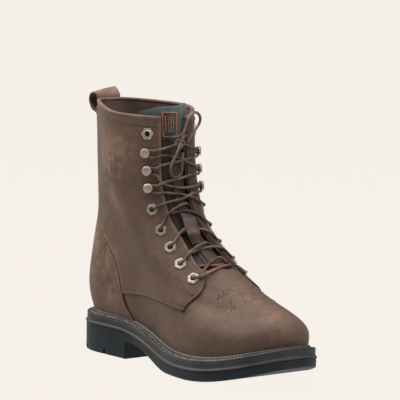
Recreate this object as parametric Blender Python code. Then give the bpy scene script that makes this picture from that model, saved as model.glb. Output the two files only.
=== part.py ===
"""Lace-up work boot for the right foot, as an assembly of its maker's pieces.

Sizes are millimetres, measured from the back of the upper at floor level: x runs to the toe, y to the
medial side and z up. placed() turns them into metres about the middle of the sole's box.
"""

import math
from collections import namedtuple

import bpy
import numpy as np
from mathutils import Matrix, Vector

# Driving sizes of the sole
TOE_X = 296.0
BALL_X = 195.0
BREAST_X = 84.0
BREAST_RAKE = 1.5
TOE_SPRING = 20.0
TOE_SPRING_POWER = 1.9
ARCH_Z = 16.6
ARCH_FLAT_X = 92.0
ARCH_END_X = 168.0
DECK_HEEL_Z = 35.8
DECK_BALL_Z = 17.8
DECK_RAMP_X = (66.0, 186.0)
DECK_SPRING_SHARE = 0.97
MIDSOLE_THICK = 8.4
MIDSOLE_LIP = 0.6
MIDSOLE_WALL_INSET = 0.8
MIDSOLE_LIP_SHARES = (0.2, 0.35)
TREAD_EDGE_INSET = 0.8
TREAD_EDGE_HEIGHT = 2.5
WELT_CLEAR = 1.6
WELT_INSET = 1.0
INSOLE_THICK = 3.0
INSOLE_CLEAR = 1.4
SOLE_STATIONS = 25
STATION_CLEAR = 0.012
FINE_SAMPLES = 801
GROOVE_WIDTH = 3.6
GROOVE_DEPTH = 2.6
GROOVE_XS = (18.0, 52.0, 176.0, 200.0, 224.0, 248.0, 272.0)

# Driving sizes of the upper
WALL = 2.0
SEAM_GAP = 0.3
SEAT_GAP = 0.8
OVERLAY = 1.5
HALF_COLUMNS = 17
COLUMN_CROWDING = 0.07
ROWS_BELOW_THROAT = 7
ROWS_ABOVE_THROAT = 11
QUARTER_FIRST_ROW = 2
COUNTER_FOOT_Z = 42.0
BACK_SEAM_GIRTH = 0.0015
ABOVE_COLLAR_Z = 280.0
REACH = 120.0

# Driving sizes of the fittings and the lace
FITTING_LIFT = 0.8
EYELET_WIDTH = 11.5
EYELET_HOLE = 4.8
EYELET_THICK = 1.4
EYELET_EDGE = 0.85
EYELET_HOLE_SIDES = 12
HOOK_SIDES = 8
LACE = 2.7
LACE_SIDES = 5
SECOND_STRAND_SCALE = 1.03
LACE_OVER_QUARTER = 4.3
LACE_OVER_TONGUE = 4.8
LACE_TURN_INSET = 2.6
LOOP_STRAP_WIDTH = 28.0
LOOP_STRAP_THICK = 2.2
LOOP_STRAP_STEPS = 19
LOOP_STRAP_COLUMNS = 5
LOOP_STRAP_SHARE = 0.95
LOOP_STRAP_GIRTHS = (0.80, 1.20)
LOOP_STRAP_FREE = (4.0, 10.0)
LOOP_STRAP_FREE_BOW = 0.3
TONGUE_THICK = 2.4
TONGUE_GAP = 0.9
TONGUE_ROWS = 12
TONGUE_COLUMNS = 11
TONGUE_TOP_CROWN = 0.75
MM_PER_M = 1000.0

SoleRow = namedtuple("SoleRow", "name share x lateral medial")
SOLE = (
    SoleRow("toe", 0.0, 296.0, 0.0, 0.0),
    SoleRow("corner", 0.085, 290.0, 26.0, 26.0),
    SoleRow("shoulder", 0.16, 275.0, 40.5, 39.5),
    SoleRow("ball", 0.37, 199.0, 55.0, 50.0),
    SoleRow("waist", 0.59, 116.0, 41.0, 35.0),
    SoleRow("heel", 0.78, 49.0, 40.0, 38.5),
    SoleRow("rump", 0.91, 8.0, 30.5, 29.5),
    SoleRow("back", 1.0, -9.5, 0.0, 0.0),
)

# A row for each level of the last, from the sole to the collar: its front and back points, the heights of its
# sides, how square its nose is, its half widths, and how far it leans to the medial side.
LoopRow = namedtuple(
    "LoopRow",
    "name share front_x front_z shoulder_z ball_z back_x back_z square shoulder ball waist heel rump lean",
)
LOOPS = (
    LoopRow("feather", 0.00, 283, 36, 33, 22, 3.0, 36, 0.80, 35.0, 47.0, 33.0, 31.5, 23.0, 0),
    LoopRow("wall", 0.05, 285, 48, 44, 38, -3.0, 58, 0.72, 35.5, 49.5, 35.5, 34.5, 25.5, 0),
    LoopRow("crown", 0.12, 277, 62, 56, 55, -3.0, 80, 0.55, 31.5, 48.0, 36.5, 36.0, 26.0, 0),
    LoopRow("box", 0.20, 257, 72, 64, 70, 1.5, 100, 0.30, 28.0, 44.5, 37.0, 36.5, 25.5, 0),
    LoopRow("vamp", 0.31, 230, 83, 75, 86, 5.5, 120, 0.15, 26.0, 41.5, 37.5, 36.0, 22.5, -2),
    LoopRow("throat", 0.42, 202, 98, 90, 105, 8.0, 140, 0.05, 24.5, 40.0, 37.5, 33.0, 18.2, -4),
    LoopRow("instep", 0.54, 171, 120, 113, 127, 9.0, 160, 0.0, 23.0, 39.5, 38.0, 30.4, 16.6, -5),
    LoopRow("ankle", 0.67, 146, 148, 145, 152, 9.0, 182, 0.0, 22.0, 40.5, 39.0, 28.8, 15.6, -6),
    LoopRow("shaft", 0.82, 132, 188, 188, 192, 7.5, 212, 0.0, 21.5, 41.5, 40.5, 28.2, 15.2, -6),
    LoopRow("collar", 1.00, 129, 235, 236, 238, 5.5, 250, 0.0, 21.5, 42.5, 41.5, 28.2, 15.2, -6),
)
# Where the side points of a loop lie, as shares of its length from its front
SIDE_PLACES = {"shoulder": 0.055, "ball": 0.32, "waist": 0.58, "heel": 0.82, "rump": 0.955}
CORNER_WIDTH = 0.66
CORNER_SETBACK_ROUND = 0.436
CORNER_SETBACK_SQUARE = 0.10
LEAN_AT_BACK = 0.65

ThroatRow = namedtuple("ThroatRow", "share half_gap")
THROAT = (
    ThroatRow(0.378, 0.0),
    ThroatRow(0.384, 9.0),
    ThroatRow(0.392, 14.0),
    ThroatRow(0.402, 17.0),
    ThroatRow(0.415, 18.5),
    ThroatRow(0.470, 19.0),
    ThroatRow(0.550, 18.0),
    ThroatRow(0.620, 16.5),
    ThroatRow(0.670, 17.5),
    ThroatRow(0.750, 22.5),
    ThroatRow(0.880, 22.0),
    ThroatRow(1.000, 22.0),
)

# The welt's section: across runs from 0 at the upper to 1 at the sole's edge, height is over the deck
WeltRow = namedtuple("WeltRow", "name across height")
WELT = (
    WeltRow("inner foot", 0.0, 0.45),
    WeltRow("outer foot", 1.0, 0.45),
    WeltRow("outer edge", 1.0, 2.8),
    WeltRow("channel lip", 0.74, 3.2),
    WeltRow("channel floor", 0.66, 2.2),
    WeltRow("channel wall", 0.46, 2.2),
    WeltRow("bead foot", 0.38, 3.2),
    WeltRow("bead top", 0.18, 4.4),
    WeltRow("bead back", 0.0, 4.0),
)

# Half the tongue's width along the surface, from its foot to the collar
TongueRow = namedtuple("TongueRow", "share half_width")
TONGUE = (
    TongueRow(0.30, 21.0),
    TongueRow(0.45, 27.0),
    TongueRow(0.60, 30.0),
    TongueRow(0.80, 36.0),
    TongueRow(1.00, 43.0),
)
# How the tongue's free top carries on past the collar: its height at the middle, and how far it leans back
TopRow = namedtuple("TopRow", "rise back")
TONGUE_TOP = (TopRow(7.0, 1.0), TopRow(13.0, 3.0))

# Fittings down each facing, from the collar to the vamp
FittingRow = namedtuple("FittingRow", "name share aside kind")
FITTINGS = (
    FittingRow("eyelet_1", 0.935, 34.5, "eyelet"),
    FittingRow("hook_1", 0.865, 36.0, "hook"),
    FittingRow("hook_2", 0.805, 35.5, "hook"),
    FittingRow("hook_3", 0.748, 36.5, "hook"),
    FittingRow("eyelet_2", 0.680, 38.5, "eyelet"),
    FittingRow("eyelet_3", 0.608, 38.0, "eyelet"),
    FittingRow("eyelet_4", 0.543, 38.5, "eyelet"),
    FittingRow("eyelet_5", 0.475, 40.0, "eyelet"),
    FittingRow("eyelet_6", 0.415, 37.5, "eyelet"),
)
HookRow = namedtuple("HookRow", "height radius")
HOOK = (
    HookRow(0.0, 3.4),
    HookRow(1.0, 3.2),
    HookRow(1.1, 1.7),
    HookRow(4.2, 1.7),
    HookRow(4.4, 4.4),
    HookRow(5.4, 4.2),
    HookRow(6.2, 2.4),
)

# Panel edges in side view, as (x, z): the counter's front edge from the back seam down to the welt, the
# quarter's lower edge from the counter to its corner, and its front edge from there up to the throat
COUNTER_EDGE = ((-20, 133), (13, 132.5), (34, 127.3), (46, 117.7), (58, 107.3), (67.5, 94.4),
                (72.2, 80.2), (76.6, 64.1), (81.9, 51.6), (90, COUNTER_FOOT_Z))
QUARTER_FOOT = ((77.6, 62.3), (113.7, 65.1), (143.4, 65.0), (166.2, 63.3), (188.9, 60.7))
QUARTER_FRONT = ((196.3, 74.1), (198.5, 82.9), (198.5, 92.0), (200.5, 98.0))

# The pull loop's middle line in side view, from its lower end over the top to its upper end, both sewn to the
# shaft's back: how far it lies behind the shaft, as a negative x, and its height
LOOP_LINE = ((-3.9, 226), (-4.0, 231.5), (-8.6, 238), (-13.5, 244.5), (-14.4, 250), (-12.2, 253.8),
             (-8, 254.2), (-4.8, 250.5), (-4.0, 246), (-3.9, 242))

# Routes of the bow, as (x, y, z)
KNOT_AT = (135.5, -14.0, 211.0)
KNOT_RADII = (4.2, 6.0, 5.0)
KNOT_CLEAR = 1.05
UPPER_LOOP = ((138.3, -8.9, 213.8), (139, -8.0, 224), (139, -8.0, 236), (138.5, 0.5, 241.5),
              (138, 5.5, 234), (139, -1.5, 223), (140.5, -7.8, 210.5))
LOWER_LOOP = ((138.3, -15.4, 205.9), (141, -25.0, 198), (142, -27.5, 188), (142, -20.5, 182.5),
              (142, -14.0, 191), (139.5, -11.3, 204.7))
LATERAL_END = ((135.6, -18.1, 215.9), (132.6, -20.0, 217.0), (129.0, -20.8, 216.9), (126.4, -21.0, 216.0))
MEDIAL_END = ((133.3, -10.7, 215.3), (130.8, -5.5, 217.3), (128.8, 1.5, 217.6), (126.4, 8.0, 216.2))

LEATHER = ("Brown oiled leather", (0.16, 0.105, 0.083), 0.55, 0.0)
DARK_LEATHER = ("Dark brown leather", (0.045, 0.03, 0.025), 0.65, 0.0)
RUBBER = ("Black rubber", (0.028, 0.033, 0.04), 0.6, 0.0)
MIDSOLE_RUBBER = ("Grey-black rubber", (0.05, 0.05, 0.052), 0.55, 0.0)
WELT_LEATHER = ("Black welt", (0.035, 0.035, 0.037), 0.5, 0.0)
FOOTBED = ("Footbed cloth", (0.09, 0.085, 0.08), 0.9, 0.0)
NICKEL = ("Antique nickel", (0.42, 0.39, 0.34), 0.35, 1.0)
CORD = ("Brown waxed cord", (0.075, 0.045, 0.028), 0.6, 0.0)


def spline(knots, values, at):
    """Natural cubic spline through values at knots, read at the places in at."""
    knots, values, at = np.asarray(knots, float), np.asarray(values, float), np.asarray(at, float)
    count, gaps = len(knots), np.diff(knots)
    matrix, right = np.eye(count), np.zeros(values.shape)
    for i in range(1, count - 1):
        matrix[i, i - 1 : i + 2] = gaps[i - 1], 2 * (gaps[i - 1] + gaps[i]), gaps[i]
        slope_after = (values[i + 1] - values[i]) / gaps[i]
        right[i] = 6 * (slope_after - (values[i] - values[i - 1]) / gaps[i - 1])
    bends = np.linalg.solve(matrix, right.reshape(count, -1)).reshape(values.shape)
    i = np.clip(np.searchsorted(knots, at) - 1, 0, count - 2)
    spread = (slice(None),) + (None,) * (values.ndim - 1)
    after, before, gap = (at - knots[i])[spread], (knots[i + 1] - at)[spread], gaps[i][spread]
    cubic = (bends[i] * before**3 + bends[i + 1] * after**3) / (6 * gap)
    low, high = values[i] / gap - bends[i] * gap / 6, values[i + 1] / gap - bends[i + 1] * gap / 6
    return cubic + low * before + high * after


def ease(x, start, end):
    """0 before start, 1 after end, and a smooth step between."""
    share = np.clip((np.asarray(x, float) - start) / (end - start), 0, 1)
    return share * share * (3 - 2 * share)


def ring(lateral, medial, at):
    """Closed curve through half rows from toe to back: at 0 the toe, 1 the back, 2 the toe again."""
    shares = np.array([row.share for row in SOLE])
    wrap = 5
    knots = np.concatenate([-shares[wrap - 1 : 0 : -1], shares, 2 - shares[-2:0:-1], 2 + shares[:wrap]])
    points = np.concatenate([medial[wrap - 1 : 0 : -1], lateral, medial[-2:0:-1], lateral[:wrap]])
    return spline(knots, points, np.mod(at, 2))


def tread_z(x):
    """Height of the walking surface of the forefoot: flat under the ball, rising to the toe."""
    past = np.maximum(np.asarray(x, float) - BALL_X, 0) / (TOE_X - BALL_X)
    return TOE_SPRING * past**TOE_SPRING_POWER


def deck_z(x):
    """Height of the top of the midsole, where upper, welt and insole sit."""
    return DECK_HEEL_Z + (DECK_BALL_Z - DECK_HEEL_Z) * ease(x, *DECK_RAMP_X) + tread_z(x) * DECK_SPRING_SHARE


def arch_z(x):
    """Height of the outsole's underside in front of the heel."""
    return ARCH_Z * (1 - ease(x, ARCH_FLAT_X, ARCH_END_X)) + tread_z(x)


def sole_outline(at, grow=0.0):
    """Sole's outline in plan, moved outward by grow."""
    lateral = np.array([(row.x, -row.lateral) for row in SOLE])
    medial = np.array([(row.x, row.medial) for row in SOLE])
    step = 1e-3
    at = np.asarray(at, float)
    along = ring(lateral, medial, at + step) - ring(lateral, medial, at - step)
    along /= np.linalg.norm(along, axis=1)[:, None]
    outward = np.stack([-along[:, 1], along[:, 0]], 1)
    return ring(lateral, medial, at) + grow * outward


def loop_half(row):
    """One level of the last as points from its front to its back, on the medial side."""
    length = row.front_x - row.back_x
    xs = {name: row.front_x - place * length for name, place in SIDE_PLACES.items()}
    setback = CORNER_SETBACK_ROUND * (1 - row.square) + CORNER_SETBACK_SQUARE * row.square
    points = [
        (row.front_x, 0, row.front_z),
        (
            row.front_x - setback * (row.front_x - xs["shoulder"]),
            CORNER_WIDTH * row.shoulder,
            row.front_z - setback * (row.front_z - row.shoulder_z),
        ),
        (xs["shoulder"], row.shoulder, row.shoulder_z),
    ]
    rise = (row.back_z - row.ball_z) / (xs["ball"] - row.back_x)
    for name in ("ball", "waist", "heel", "rump"):
        points.append((xs[name], getattr(row, name), row.ball_z + rise * (xs["ball"] - xs[name])))
    points.append((row.back_x, 0, row.back_z))
    points = np.array(points, float)
    if row.name == "feather":
        points[:, 2] = deck_z(points[:, 0]) + SEAT_GAP
    return points


def loop_sides(row):
    """Lateral and medial halves of a level, leaned to one side, most at its front."""
    half = loop_half(row)
    forward = (half[:, 0] - row.back_x) / (row.front_x - row.back_x)
    lean = row.lean * (LEAN_AT_BACK + (1 - LEAN_AT_BACK) * forward)
    lateral, medial = half * (1, -1, 1), half.copy()
    lateral[:, 1] += lean
    medial[:, 1] += lean
    return lateral, medial


LEVELS = [loop_sides(row) for row in LOOPS]
LEVEL_SHARES = np.array([row.share for row in LOOPS])


def last_point(share, girth):
    """The last's surface: share runs from 0 at the sole to 1 at the collar, girth from 0 at the front
    along the lateral side to 1 at the back and on to 2 at the front again."""
    share, girth = np.broadcast_arrays(np.asarray(share, float), np.asarray(girth, float))
    flat = np.clip(share.ravel(), 0, 1)
    levels = np.stack([ring(lateral, medial, girth.ravel()) for lateral, medial in LEVELS])
    points = np.empty((flat.size, 3))
    for value in np.unique(flat):
        chosen = flat == value
        points[chosen] = spline(LEVEL_SHARES, levels[:, chosen], [value])[0]
    return points.reshape(share.shape + (3,))


def last_normal(share, girth):
    """Outward normal of the last's surface."""
    share, girth = np.asarray(share, float), np.asarray(girth, float)
    step = 2e-3
    up = last_point(np.minimum(share + step, 1), girth) - last_point(np.maximum(share - step, 0), girth)
    round_ = last_point(share, girth + step) - last_point(share, girth - step)
    normal = np.cross(up, round_)
    return normal / np.linalg.norm(normal, axis=-1)[..., None]


def off_last(share, girth, depth):
    """A point of the last moved outward by depth, kept on the deck along the feather edge."""
    points = last_point(share, girth) + last_normal(share, girth) * np.asarray(depth, float)[..., None]
    on_feather = np.broadcast_to(np.asarray(share, float) <= 0, points.shape[:-1])
    points[..., 2] = np.where(on_feather, deck_z(points[..., 0]) + SEAT_GAP, points[..., 2])
    return points


def half_gap(share):
    """Half the width of the throat at a level."""
    return np.interp(share, [row.share for row in THROAT], [row.half_gap for row in THROAT])


def girth_from_front(share, distance, samples=81, widest=0.6):
    """Girth on the lateral side at a distance along the surface from the front line."""
    girths = np.linspace(0, widest, samples)
    steps = np.linalg.norm(np.diff(last_point(share, girths), axis=0), axis=1)
    return float(np.interp(distance, np.concatenate([[0], np.cumsum(steps)]), girths))


def row_girths(share):
    """Girths of the columns of one row: from the lateral throat edge round the back to the medial one."""
    even = np.linspace(0, 1, HALF_COLUMNS + 1)
    crowded = even - COLUMN_CROWDING * np.sin(2 * math.pi * even)
    gap = half_gap(share)
    edge = girth_from_front(share, gap) if gap > 0 else 0.0
    half = edge + (1 - edge) * crowded
    return np.concatenate([half, 2 - half[-2::-1]])


THROAT_FOOT = THROAT[0].share
THROAT_CURVE = [row.share for row in THROAT[1:5]]
SHARES = np.concatenate([
    np.linspace(0, THROAT_FOOT, ROWS_BELOW_THROAT + 1),
    THROAT_CURVE,
    np.linspace(THROAT_CURVE[-1], 1, ROWS_ABOVE_THROAT - len(THROAT_CURVE) + 1)[1:],
])
GIRTHS = np.array([row_girths(share) for share in SHARES])
COLUMNS = GIRTHS.shape[1]


def sheet(depth):
    """The upper's grid of rows and columns at one depth."""
    return off_last(SHARES[:, None], GIRTHS, np.full(GIRTHS.shape, float(depth)))


def placed(points):
    """Millimetres from the heel's back to metres about the middle of the sole's box."""
    return (np.asarray(points, float) - ORIGIN) / MM_PER_M


def outline_origin():
    outline = sole_outline(np.linspace(0, 2, FINE_SAMPLES), MIDSOLE_LIP)
    middle = (outline.min(axis=0) + outline.max(axis=0)) / 2
    return np.array([middle[0], middle[1], 0.0])


ORIGIN = outline_origin()


def material(finish):
    name, colour, roughness, metallic = finish
    made = bpy.data.materials.get(name)
    if made is None:
        made = bpy.data.materials.new(name)
        made.use_nodes = True
        shader = made.node_tree.nodes["Principled BSDF"]
        shader.inputs["Base Color"].default_value = (*colour, 1)
        shader.inputs["Roughness"].default_value = roughness
        shader.inputs["Metallic"].default_value = metallic
    return made


def add_mesh(name, points, faces, finish=None, smooth_angle=35.0):
    """A mesh object from points in millimetres. Without a finish it is a helper that isn't a piece."""
    mesh = bpy.data.meshes.new(name)
    mesh.from_pydata([tuple(p) for p in placed(points)], [], [tuple(int(i) for i in face) for face in faces])
    mesh.validate()
    mesh.shade_smooth()
    mesh.set_sharp_from_angle(angle=math.radians(smooth_angle))
    thing = bpy.data.objects.new(name, mesh)
    bpy.context.scene.collection.objects.link(thing)
    if finish is None:
        thing.hide_render = True
        thing.display_type = "WIRE"
    else:
        mesh.materials.append(material(finish))
    return thing


def boolean(thing, operation, other):
    modifier = thing.modifiers.new(operation.title(), "BOOLEAN")
    modifier.operation = operation
    modifier.object = other
    modifier.solver = "EXACT"


def grid_faces(rows, columns, start=0, flip=False, lateral=0):
    """Triangles over a grid of points. A row's first cells, as many as lateral says, are cut along the
    other diagonal, because the rows of that side are sheared the other way."""
    faces = []
    for i in range(rows - 1):
        for j in range(columns - 1):
            a = start + i * columns + j
            b, c, d = a + 1, a + columns + 1, a + columns
            cell = [(a, d, b), (d, c, b)] if j < lateral else [(a, c, b), (a, d, c)]
            faces += [face[::-1] for face in cell] if flip else cell
    return faces


def strip_faces(near, far, flip=False):
    """Triangles between two chains of point numbers."""
    faces = []
    for a, b, c, d in zip(near[:-1], near[1:], far[1:], far[:-1]):
        faces += [(a, c, b), (a, d, c)] if flip else [(a, b, c), (a, c, d)]
    return faces


def slab(outer, inner, lateral=0):
    """Points and faces of a closed slab between two grids of the same size, the outer one facing out."""
    rows, columns = outer.shape[:2]
    size = rows * columns
    points = np.concatenate([outer.reshape(-1, 3), inner.reshape(-1, 3)])
    faces = grid_faces(rows, columns, lateral=lateral) + grid_faces(rows, columns, size, True, lateral)
    first = np.arange(columns)
    last = first + (rows - 1) * columns
    left = np.arange(rows) * columns
    right = left + columns - 1
    faces += strip_faces(first, first + size) + strip_faces(last, last + size, flip=True)
    faces += strip_faces(left, left + size, flip=True) + strip_faces(right, right + size)
    return points, faces


def welded(points, faces, places=6):
    """The same faces with points that coincide made one."""
    _, first, number = np.unique(np.round(points, places), axis=0, return_index=True, return_inverse=True)
    faces = number.reshape(-1)[np.array(faces)]
    kept = [f for f in faces if len(set(f.tolist())) == 3]
    return points[first], kept


def prism(name, outline, low_y, high_y):
    """A helper block: an outline in side view, drawn across from low_y to high_y."""
    count = len(outline)
    points = [(x, y, z) for y in (low_y, high_y) for x, z in outline]
    faces = [tuple(range(count)), tuple(range(2 * count - 1, count - 1, -1))]
    faces += [(i, i + count, (i + 1) % count + count, (i + 1) % count) for i in range(count)]
    area = sum(a[0] * b[1] - b[0] * a[1] for a, b in zip(outline, outline[1:] + outline[:1]))
    if area < 0:
        faces = [face[::-1] for face in faces]
    return add_mesh(name, np.array(points), faces)


def build_upper():
    """One hollow wall, open at the collar, along the throat and underneath."""
    outer, inner = sheet(0), sheet(-WALL)
    rows, columns = outer.shape[:2]
    size = rows * columns
    points = np.concatenate([outer.reshape(-1, 3), inner.reshape(-1, 3)])
    faces = grid_faces(rows, columns, lateral=HALF_COLUMNS)
    faces += grid_faces(rows, columns, size, True, HALF_COLUMNS)
    foot = np.arange(columns)
    collar = foot + (rows - 1) * columns
    faces += strip_faces(foot, foot + size) + strip_faces(collar, collar + size, flip=True)
    lateral_edge = np.arange(ROWS_BELOW_THROAT, rows) * columns
    medial_edge = lateral_edge + columns - 1
    faces += strip_faces(lateral_edge, lateral_edge + size, flip=True)
    faces += strip_faces(medial_edge, medial_edge + size)
    add_mesh("upper", *welded(points, faces), LEATHER)


def panel(name, girths, first_row, block):
    """A panel of leather over the upper: a slab over some of its columns, inside a block."""
    lateral = int((girths[0] < 1).sum())
    shares = SHARES[first_row:, None]
    depths = (SEAM_GAP + OVERLAY, SEAM_GAP)
    outer, inner = (off_last(shares, girths, np.full(girths.shape, depth)) for depth in depths)
    thing = add_mesh(name, *slab(outer, inner, lateral), LEATHER)
    boolean(thing, "INTERSECT", block)


def quarter_outline():
    """Side view of the quarter: the seam along the counter, its foot, its front edge, and past the collar."""
    seam = [(x + SEAM_GAP, z + SEAM_GAP) for x, z in COUNTER_EDGE if z > QUARTER_FOOT[0][1] + 1]
    top = [(QUARTER_FRONT[-1][0], ABOVE_COLLAR_Z), (COUNTER_EDGE[0][0], ABOVE_COLLAR_Z)]
    return list(QUARTER_FOOT) + list(QUARTER_FRONT) + top + seam


def build_quarters():
    """A quarter on each side, parted along the back by a narrow seam."""
    block = prism("quarter_block", quarter_outline(), -REACH, REACH)
    lateral = GIRTHS[QUARTER_FIRST_ROW:, : HALF_COLUMNS + 1].copy()
    medial = GIRTHS[QUARTER_FIRST_ROW:, HALF_COLUMNS:].copy()
    lateral[:, -1] -= BACK_SEAM_GIRTH
    medial[:, 0] += BACK_SEAM_GIRTH
    panel("quarter_lateral", lateral, QUARTER_FIRST_ROW, block)
    panel("quarter_medial", medial, QUARTER_FIRST_ROW, block)


def build_counter():
    outline = list(COUNTER_EDGE) + [(COUNTER_EDGE[0][0], COUNTER_FOOT_Z)]
    block = prism("counter_block", outline, -REACH, REACH)
    first = HALF_COLUMNS // 2
    panel("counter", GIRTHS[:, first : COLUMNS - first], 0, block)


def sole_stations():
    """Girths of the sole's stations on one side, from the toe to the back, with two at the heel breast."""
    even = np.linspace(0, 1, SOLE_STATIONS)
    girths = even - COLUMN_CROWDING * np.sin(2 * math.pi * even) / 2
    fine = np.linspace(0, 1, FINE_SAMPLES)
    xs = sole_outline(fine)[:, 0]
    breast = [float(np.interp(-x, -xs, fine)) for x in (BREAST_X + BREAST_RAKE, BREAST_X)]
    clear = np.abs(girths[:, None] - np.array(breast)).min(axis=1) > STATION_CLEAR
    return np.sort(np.concatenate([girths[clear], breast]))


def sole_layer(stations, grow, height):
    """Closed chain of points round the sole at the stations, height giving z from x."""
    girths = np.concatenate([stations, 2 - stations[-2:0:-1]])
    plan = sole_outline(girths, grow)
    return np.column_stack([plan, height(plan[:, 0])])


def cap_faces(count, start, flip):
    """Triangles across a closed chain that runs from the toe down one side and back up the other."""
    half = count // 2
    faces = []
    for i in range(half):
        near, far = (i, i + 1), ((count - i) % count, count - i - 1)
        cells = [(near[0], near[1], far[1]), (near[0], far[1], far[0])]
        faces += [cell for cell in cells if len(set(cell)) == 3]
    if flip:
        faces = [face[::-1] for face in faces]
    return [tuple(start + i for i in face) for face in faces]


def stack(layers):
    """Points and faces of a body made of closed chains from bottom to top, capped at both ends."""
    count = len(layers[0])
    points = np.concatenate(layers)
    faces = cap_faces(count, 0, flip=False) + cap_faces(count, count * (len(layers) - 1), flip=True)
    for level in range(len(layers) - 1):
        chain = np.append(np.arange(count), 0) + level * count
        faces += strip_faces(chain, chain + count, flip=True)
    return points, faces


def outsole_top(x):
    return deck_z(x) - MIDSOLE_THICK - SEAM_GAP


def outsole_foot(x):
    """Underside of the outsole: the heel's face on the floor, then the arch and the forefoot."""
    return np.where(x < BREAST_X + BREAST_RAKE / 2, 0.0, arch_z(x))


def build_outsole():
    """Moulded rubber sole with its heel, cut by the tread's cross grooves."""
    stations = sole_stations()
    layers = [
        sole_layer(stations, -TREAD_EDGE_INSET, outsole_foot),
        sole_layer(stations, 0.0, lambda x: outsole_foot(x) + TREAD_EDGE_HEIGHT),
        sole_layer(stations, 0.0, outsole_top),
    ]
    outsole = add_mesh("outsole", *stack(layers), RUBBER)
    points, faces = [], []
    for x in GROOVE_XS:
        low, high = x - GROOVE_WIDTH / 2, x + GROOVE_WIDTH / 2
        roof = float(tread_z(x)) + GROOVE_DEPTH
        corners = [(a, b, c) for a in (low, high) for b in (-REACH, REACH) for c in (-REACH, roof)]
        box = [(0, 1, 3, 2), (4, 6, 7, 5), (0, 4, 5, 1), (2, 3, 7, 6), (0, 2, 6, 4), (1, 5, 7, 3)]
        faces += [tuple(i + len(points) for i in face) for face in box]
        points += corners
    boolean(outsole, "DIFFERENCE", add_mesh("tread_grooves", np.array(points), faces))


def build_midsole():
    """Band between outsole and welt, its lower edge standing proud as a lip."""
    stations = sole_stations()

    def at(share):
        return lambda x: deck_z(x) - MIDSOLE_THICK * (1 - share)

    layers = [
        sole_layer(stations, MIDSOLE_LIP, at(0.0)),
        sole_layer(stations, MIDSOLE_LIP, at(MIDSOLE_LIP_SHARES[0])),
        sole_layer(stations, -MIDSOLE_WALL_INSET, at(MIDSOLE_LIP_SHARES[1])),
        sole_layer(stations, -MIDSOLE_WALL_INSET, at(1.0)),
    ]
    add_mesh("midsole", *stack(layers), MIDSOLE_RUBBER)


def build_welt():
    """Strip round the whole boot with a stitch channel and a bead against the upper."""
    girths = np.concatenate([sole_stations(), 2 - sole_stations()[-2:0:-1]])
    count = len(girths)
    outer = sole_outline(girths, -WELT_INSET)
    inner = feather_outline(girths, WELT_CLEAR)
    chains = []
    for row in WELT:
        plan = inner + (outer - inner) * row.across
        chains.append(np.column_stack([plan, deck_z(plan[:, 0]) + row.height]))
    faces = []
    for level in range(len(WELT)):
        near = np.append(np.arange(count), 0) + level * count
        far = np.append(np.arange(count), 0) + (level + 1) % len(WELT) * count
        faces += strip_faces(near, far, flip=True)
    add_mesh("welt", np.concatenate(chains), faces, WELT_LEATHER)


def feather_outline(girths, grow):
    """Plan of the upper's foot, moved outward by grow."""
    step, foot = 1e-3, np.zeros_like(girths)
    plan = last_point(foot, girths)[:, :2]
    along = (last_point(foot, girths + step) - last_point(foot, girths - step))[:, :2]
    along /= np.linalg.norm(along, axis=1)[:, None]
    return plan + grow * np.stack([-along[:, 1], along[:, 0]], 1)


def build_insole():
    girths = np.concatenate([sole_stations(), 2 - sole_stations()[-2:0:-1]])
    plan = feather_outline(girths, -WALL - INSOLE_CLEAR)
    layers = [
        np.column_stack([plan, deck_z(plan[:, 0]) + SEAM_GAP + rise]) for rise in (0.0, INSOLE_THICK)
    ]
    add_mesh("insole", *stack(layers), FOOTBED)


def tongue_sheet(depth):
    """The tongue's grid at one depth under the upper's outer face. Its free top is highest in the middle."""
    rows = []
    for share in np.linspace(TONGUE[0].share, 1, TONGUE_ROWS):
        width = np.interp(share, [row.share for row in TONGUE], [row.half_width for row in TONGUE])
        edge = girth_from_front(share, width)
        girths = np.linspace(-edge, edge, TONGUE_COLUMNS)
        rows.append(off_last(np.full(TONGUE_COLUMNS, share), girths, np.full(TONGUE_COLUMNS, depth)))
    crown = 1 - TONGUE_TOP_CROWN * np.linspace(-1, 1, TONGUE_COLUMNS) ** 2
    for row in TONGUE_TOP:
        free = np.outer(crown, (-row.back, 0, row.rise))
        rows.append(rows[TONGUE_ROWS - 1] + free)
    return np.array(rows)


def build_tongue():
    top = -WALL - TONGUE_GAP
    add_mesh("tongue", *slab(tongue_sheet(top), tongue_sheet(top - TONGUE_THICK)), DARK_LEATHER)


def back_bulge(y):
    """How far the shaft's back face lies forward of its middle line at a distance y to the side."""
    points = last_point(LOOP_STRAP_SHARE, np.linspace(*LOOP_STRAP_GIRTHS, FINE_SAMPLES))
    return np.interp(y, points[:, 1], points[:, 0] - points[:, 0].min())


def build_pull_loop():
    """Leather strap sewn to the shaft's back at both its ends, standing out and up as a loop."""
    back = last_point(LOOP_STRAP_SHARE, 1.0)
    line = np.array(LOOP_LINE, float)
    path = spline(np.arange(len(line)), line, np.linspace(0, len(line) - 1, LOOP_STRAP_STEPS))
    along = np.gradient(path, axis=0)
    along /= np.linalg.norm(along, axis=1)[:, None]
    outward = np.stack([-along[:, 1], along[:, 0]], 1)
    half_width = LOOP_STRAP_WIDTH / 2
    across = back[1] + np.linspace(-half_width, half_width, LOOP_STRAP_COLUMNS)
    bow = 1 - (1 - LOOP_STRAP_FREE_BOW) * ease(-path[:, 0], *LOOP_STRAP_FREE)

    def face(depth):
        side = path + outward * depth
        bulge = back[0] + np.outer(bow, back_bulge(across))
        return np.stack([side[:, :1] + bulge, 0 * bulge + across, 0 * bulge + side[:, 1:]], -1)

    half = LOOP_STRAP_THICK / 2
    add_mesh("pull_loop", *slab(face(half), face(-half)), LEATHER)


def facing_girth(share, inset):
    """Girth of a point on the lateral facing, inset from the throat's edge."""
    return girth_from_front(share, half_gap(share) + inset)


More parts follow.
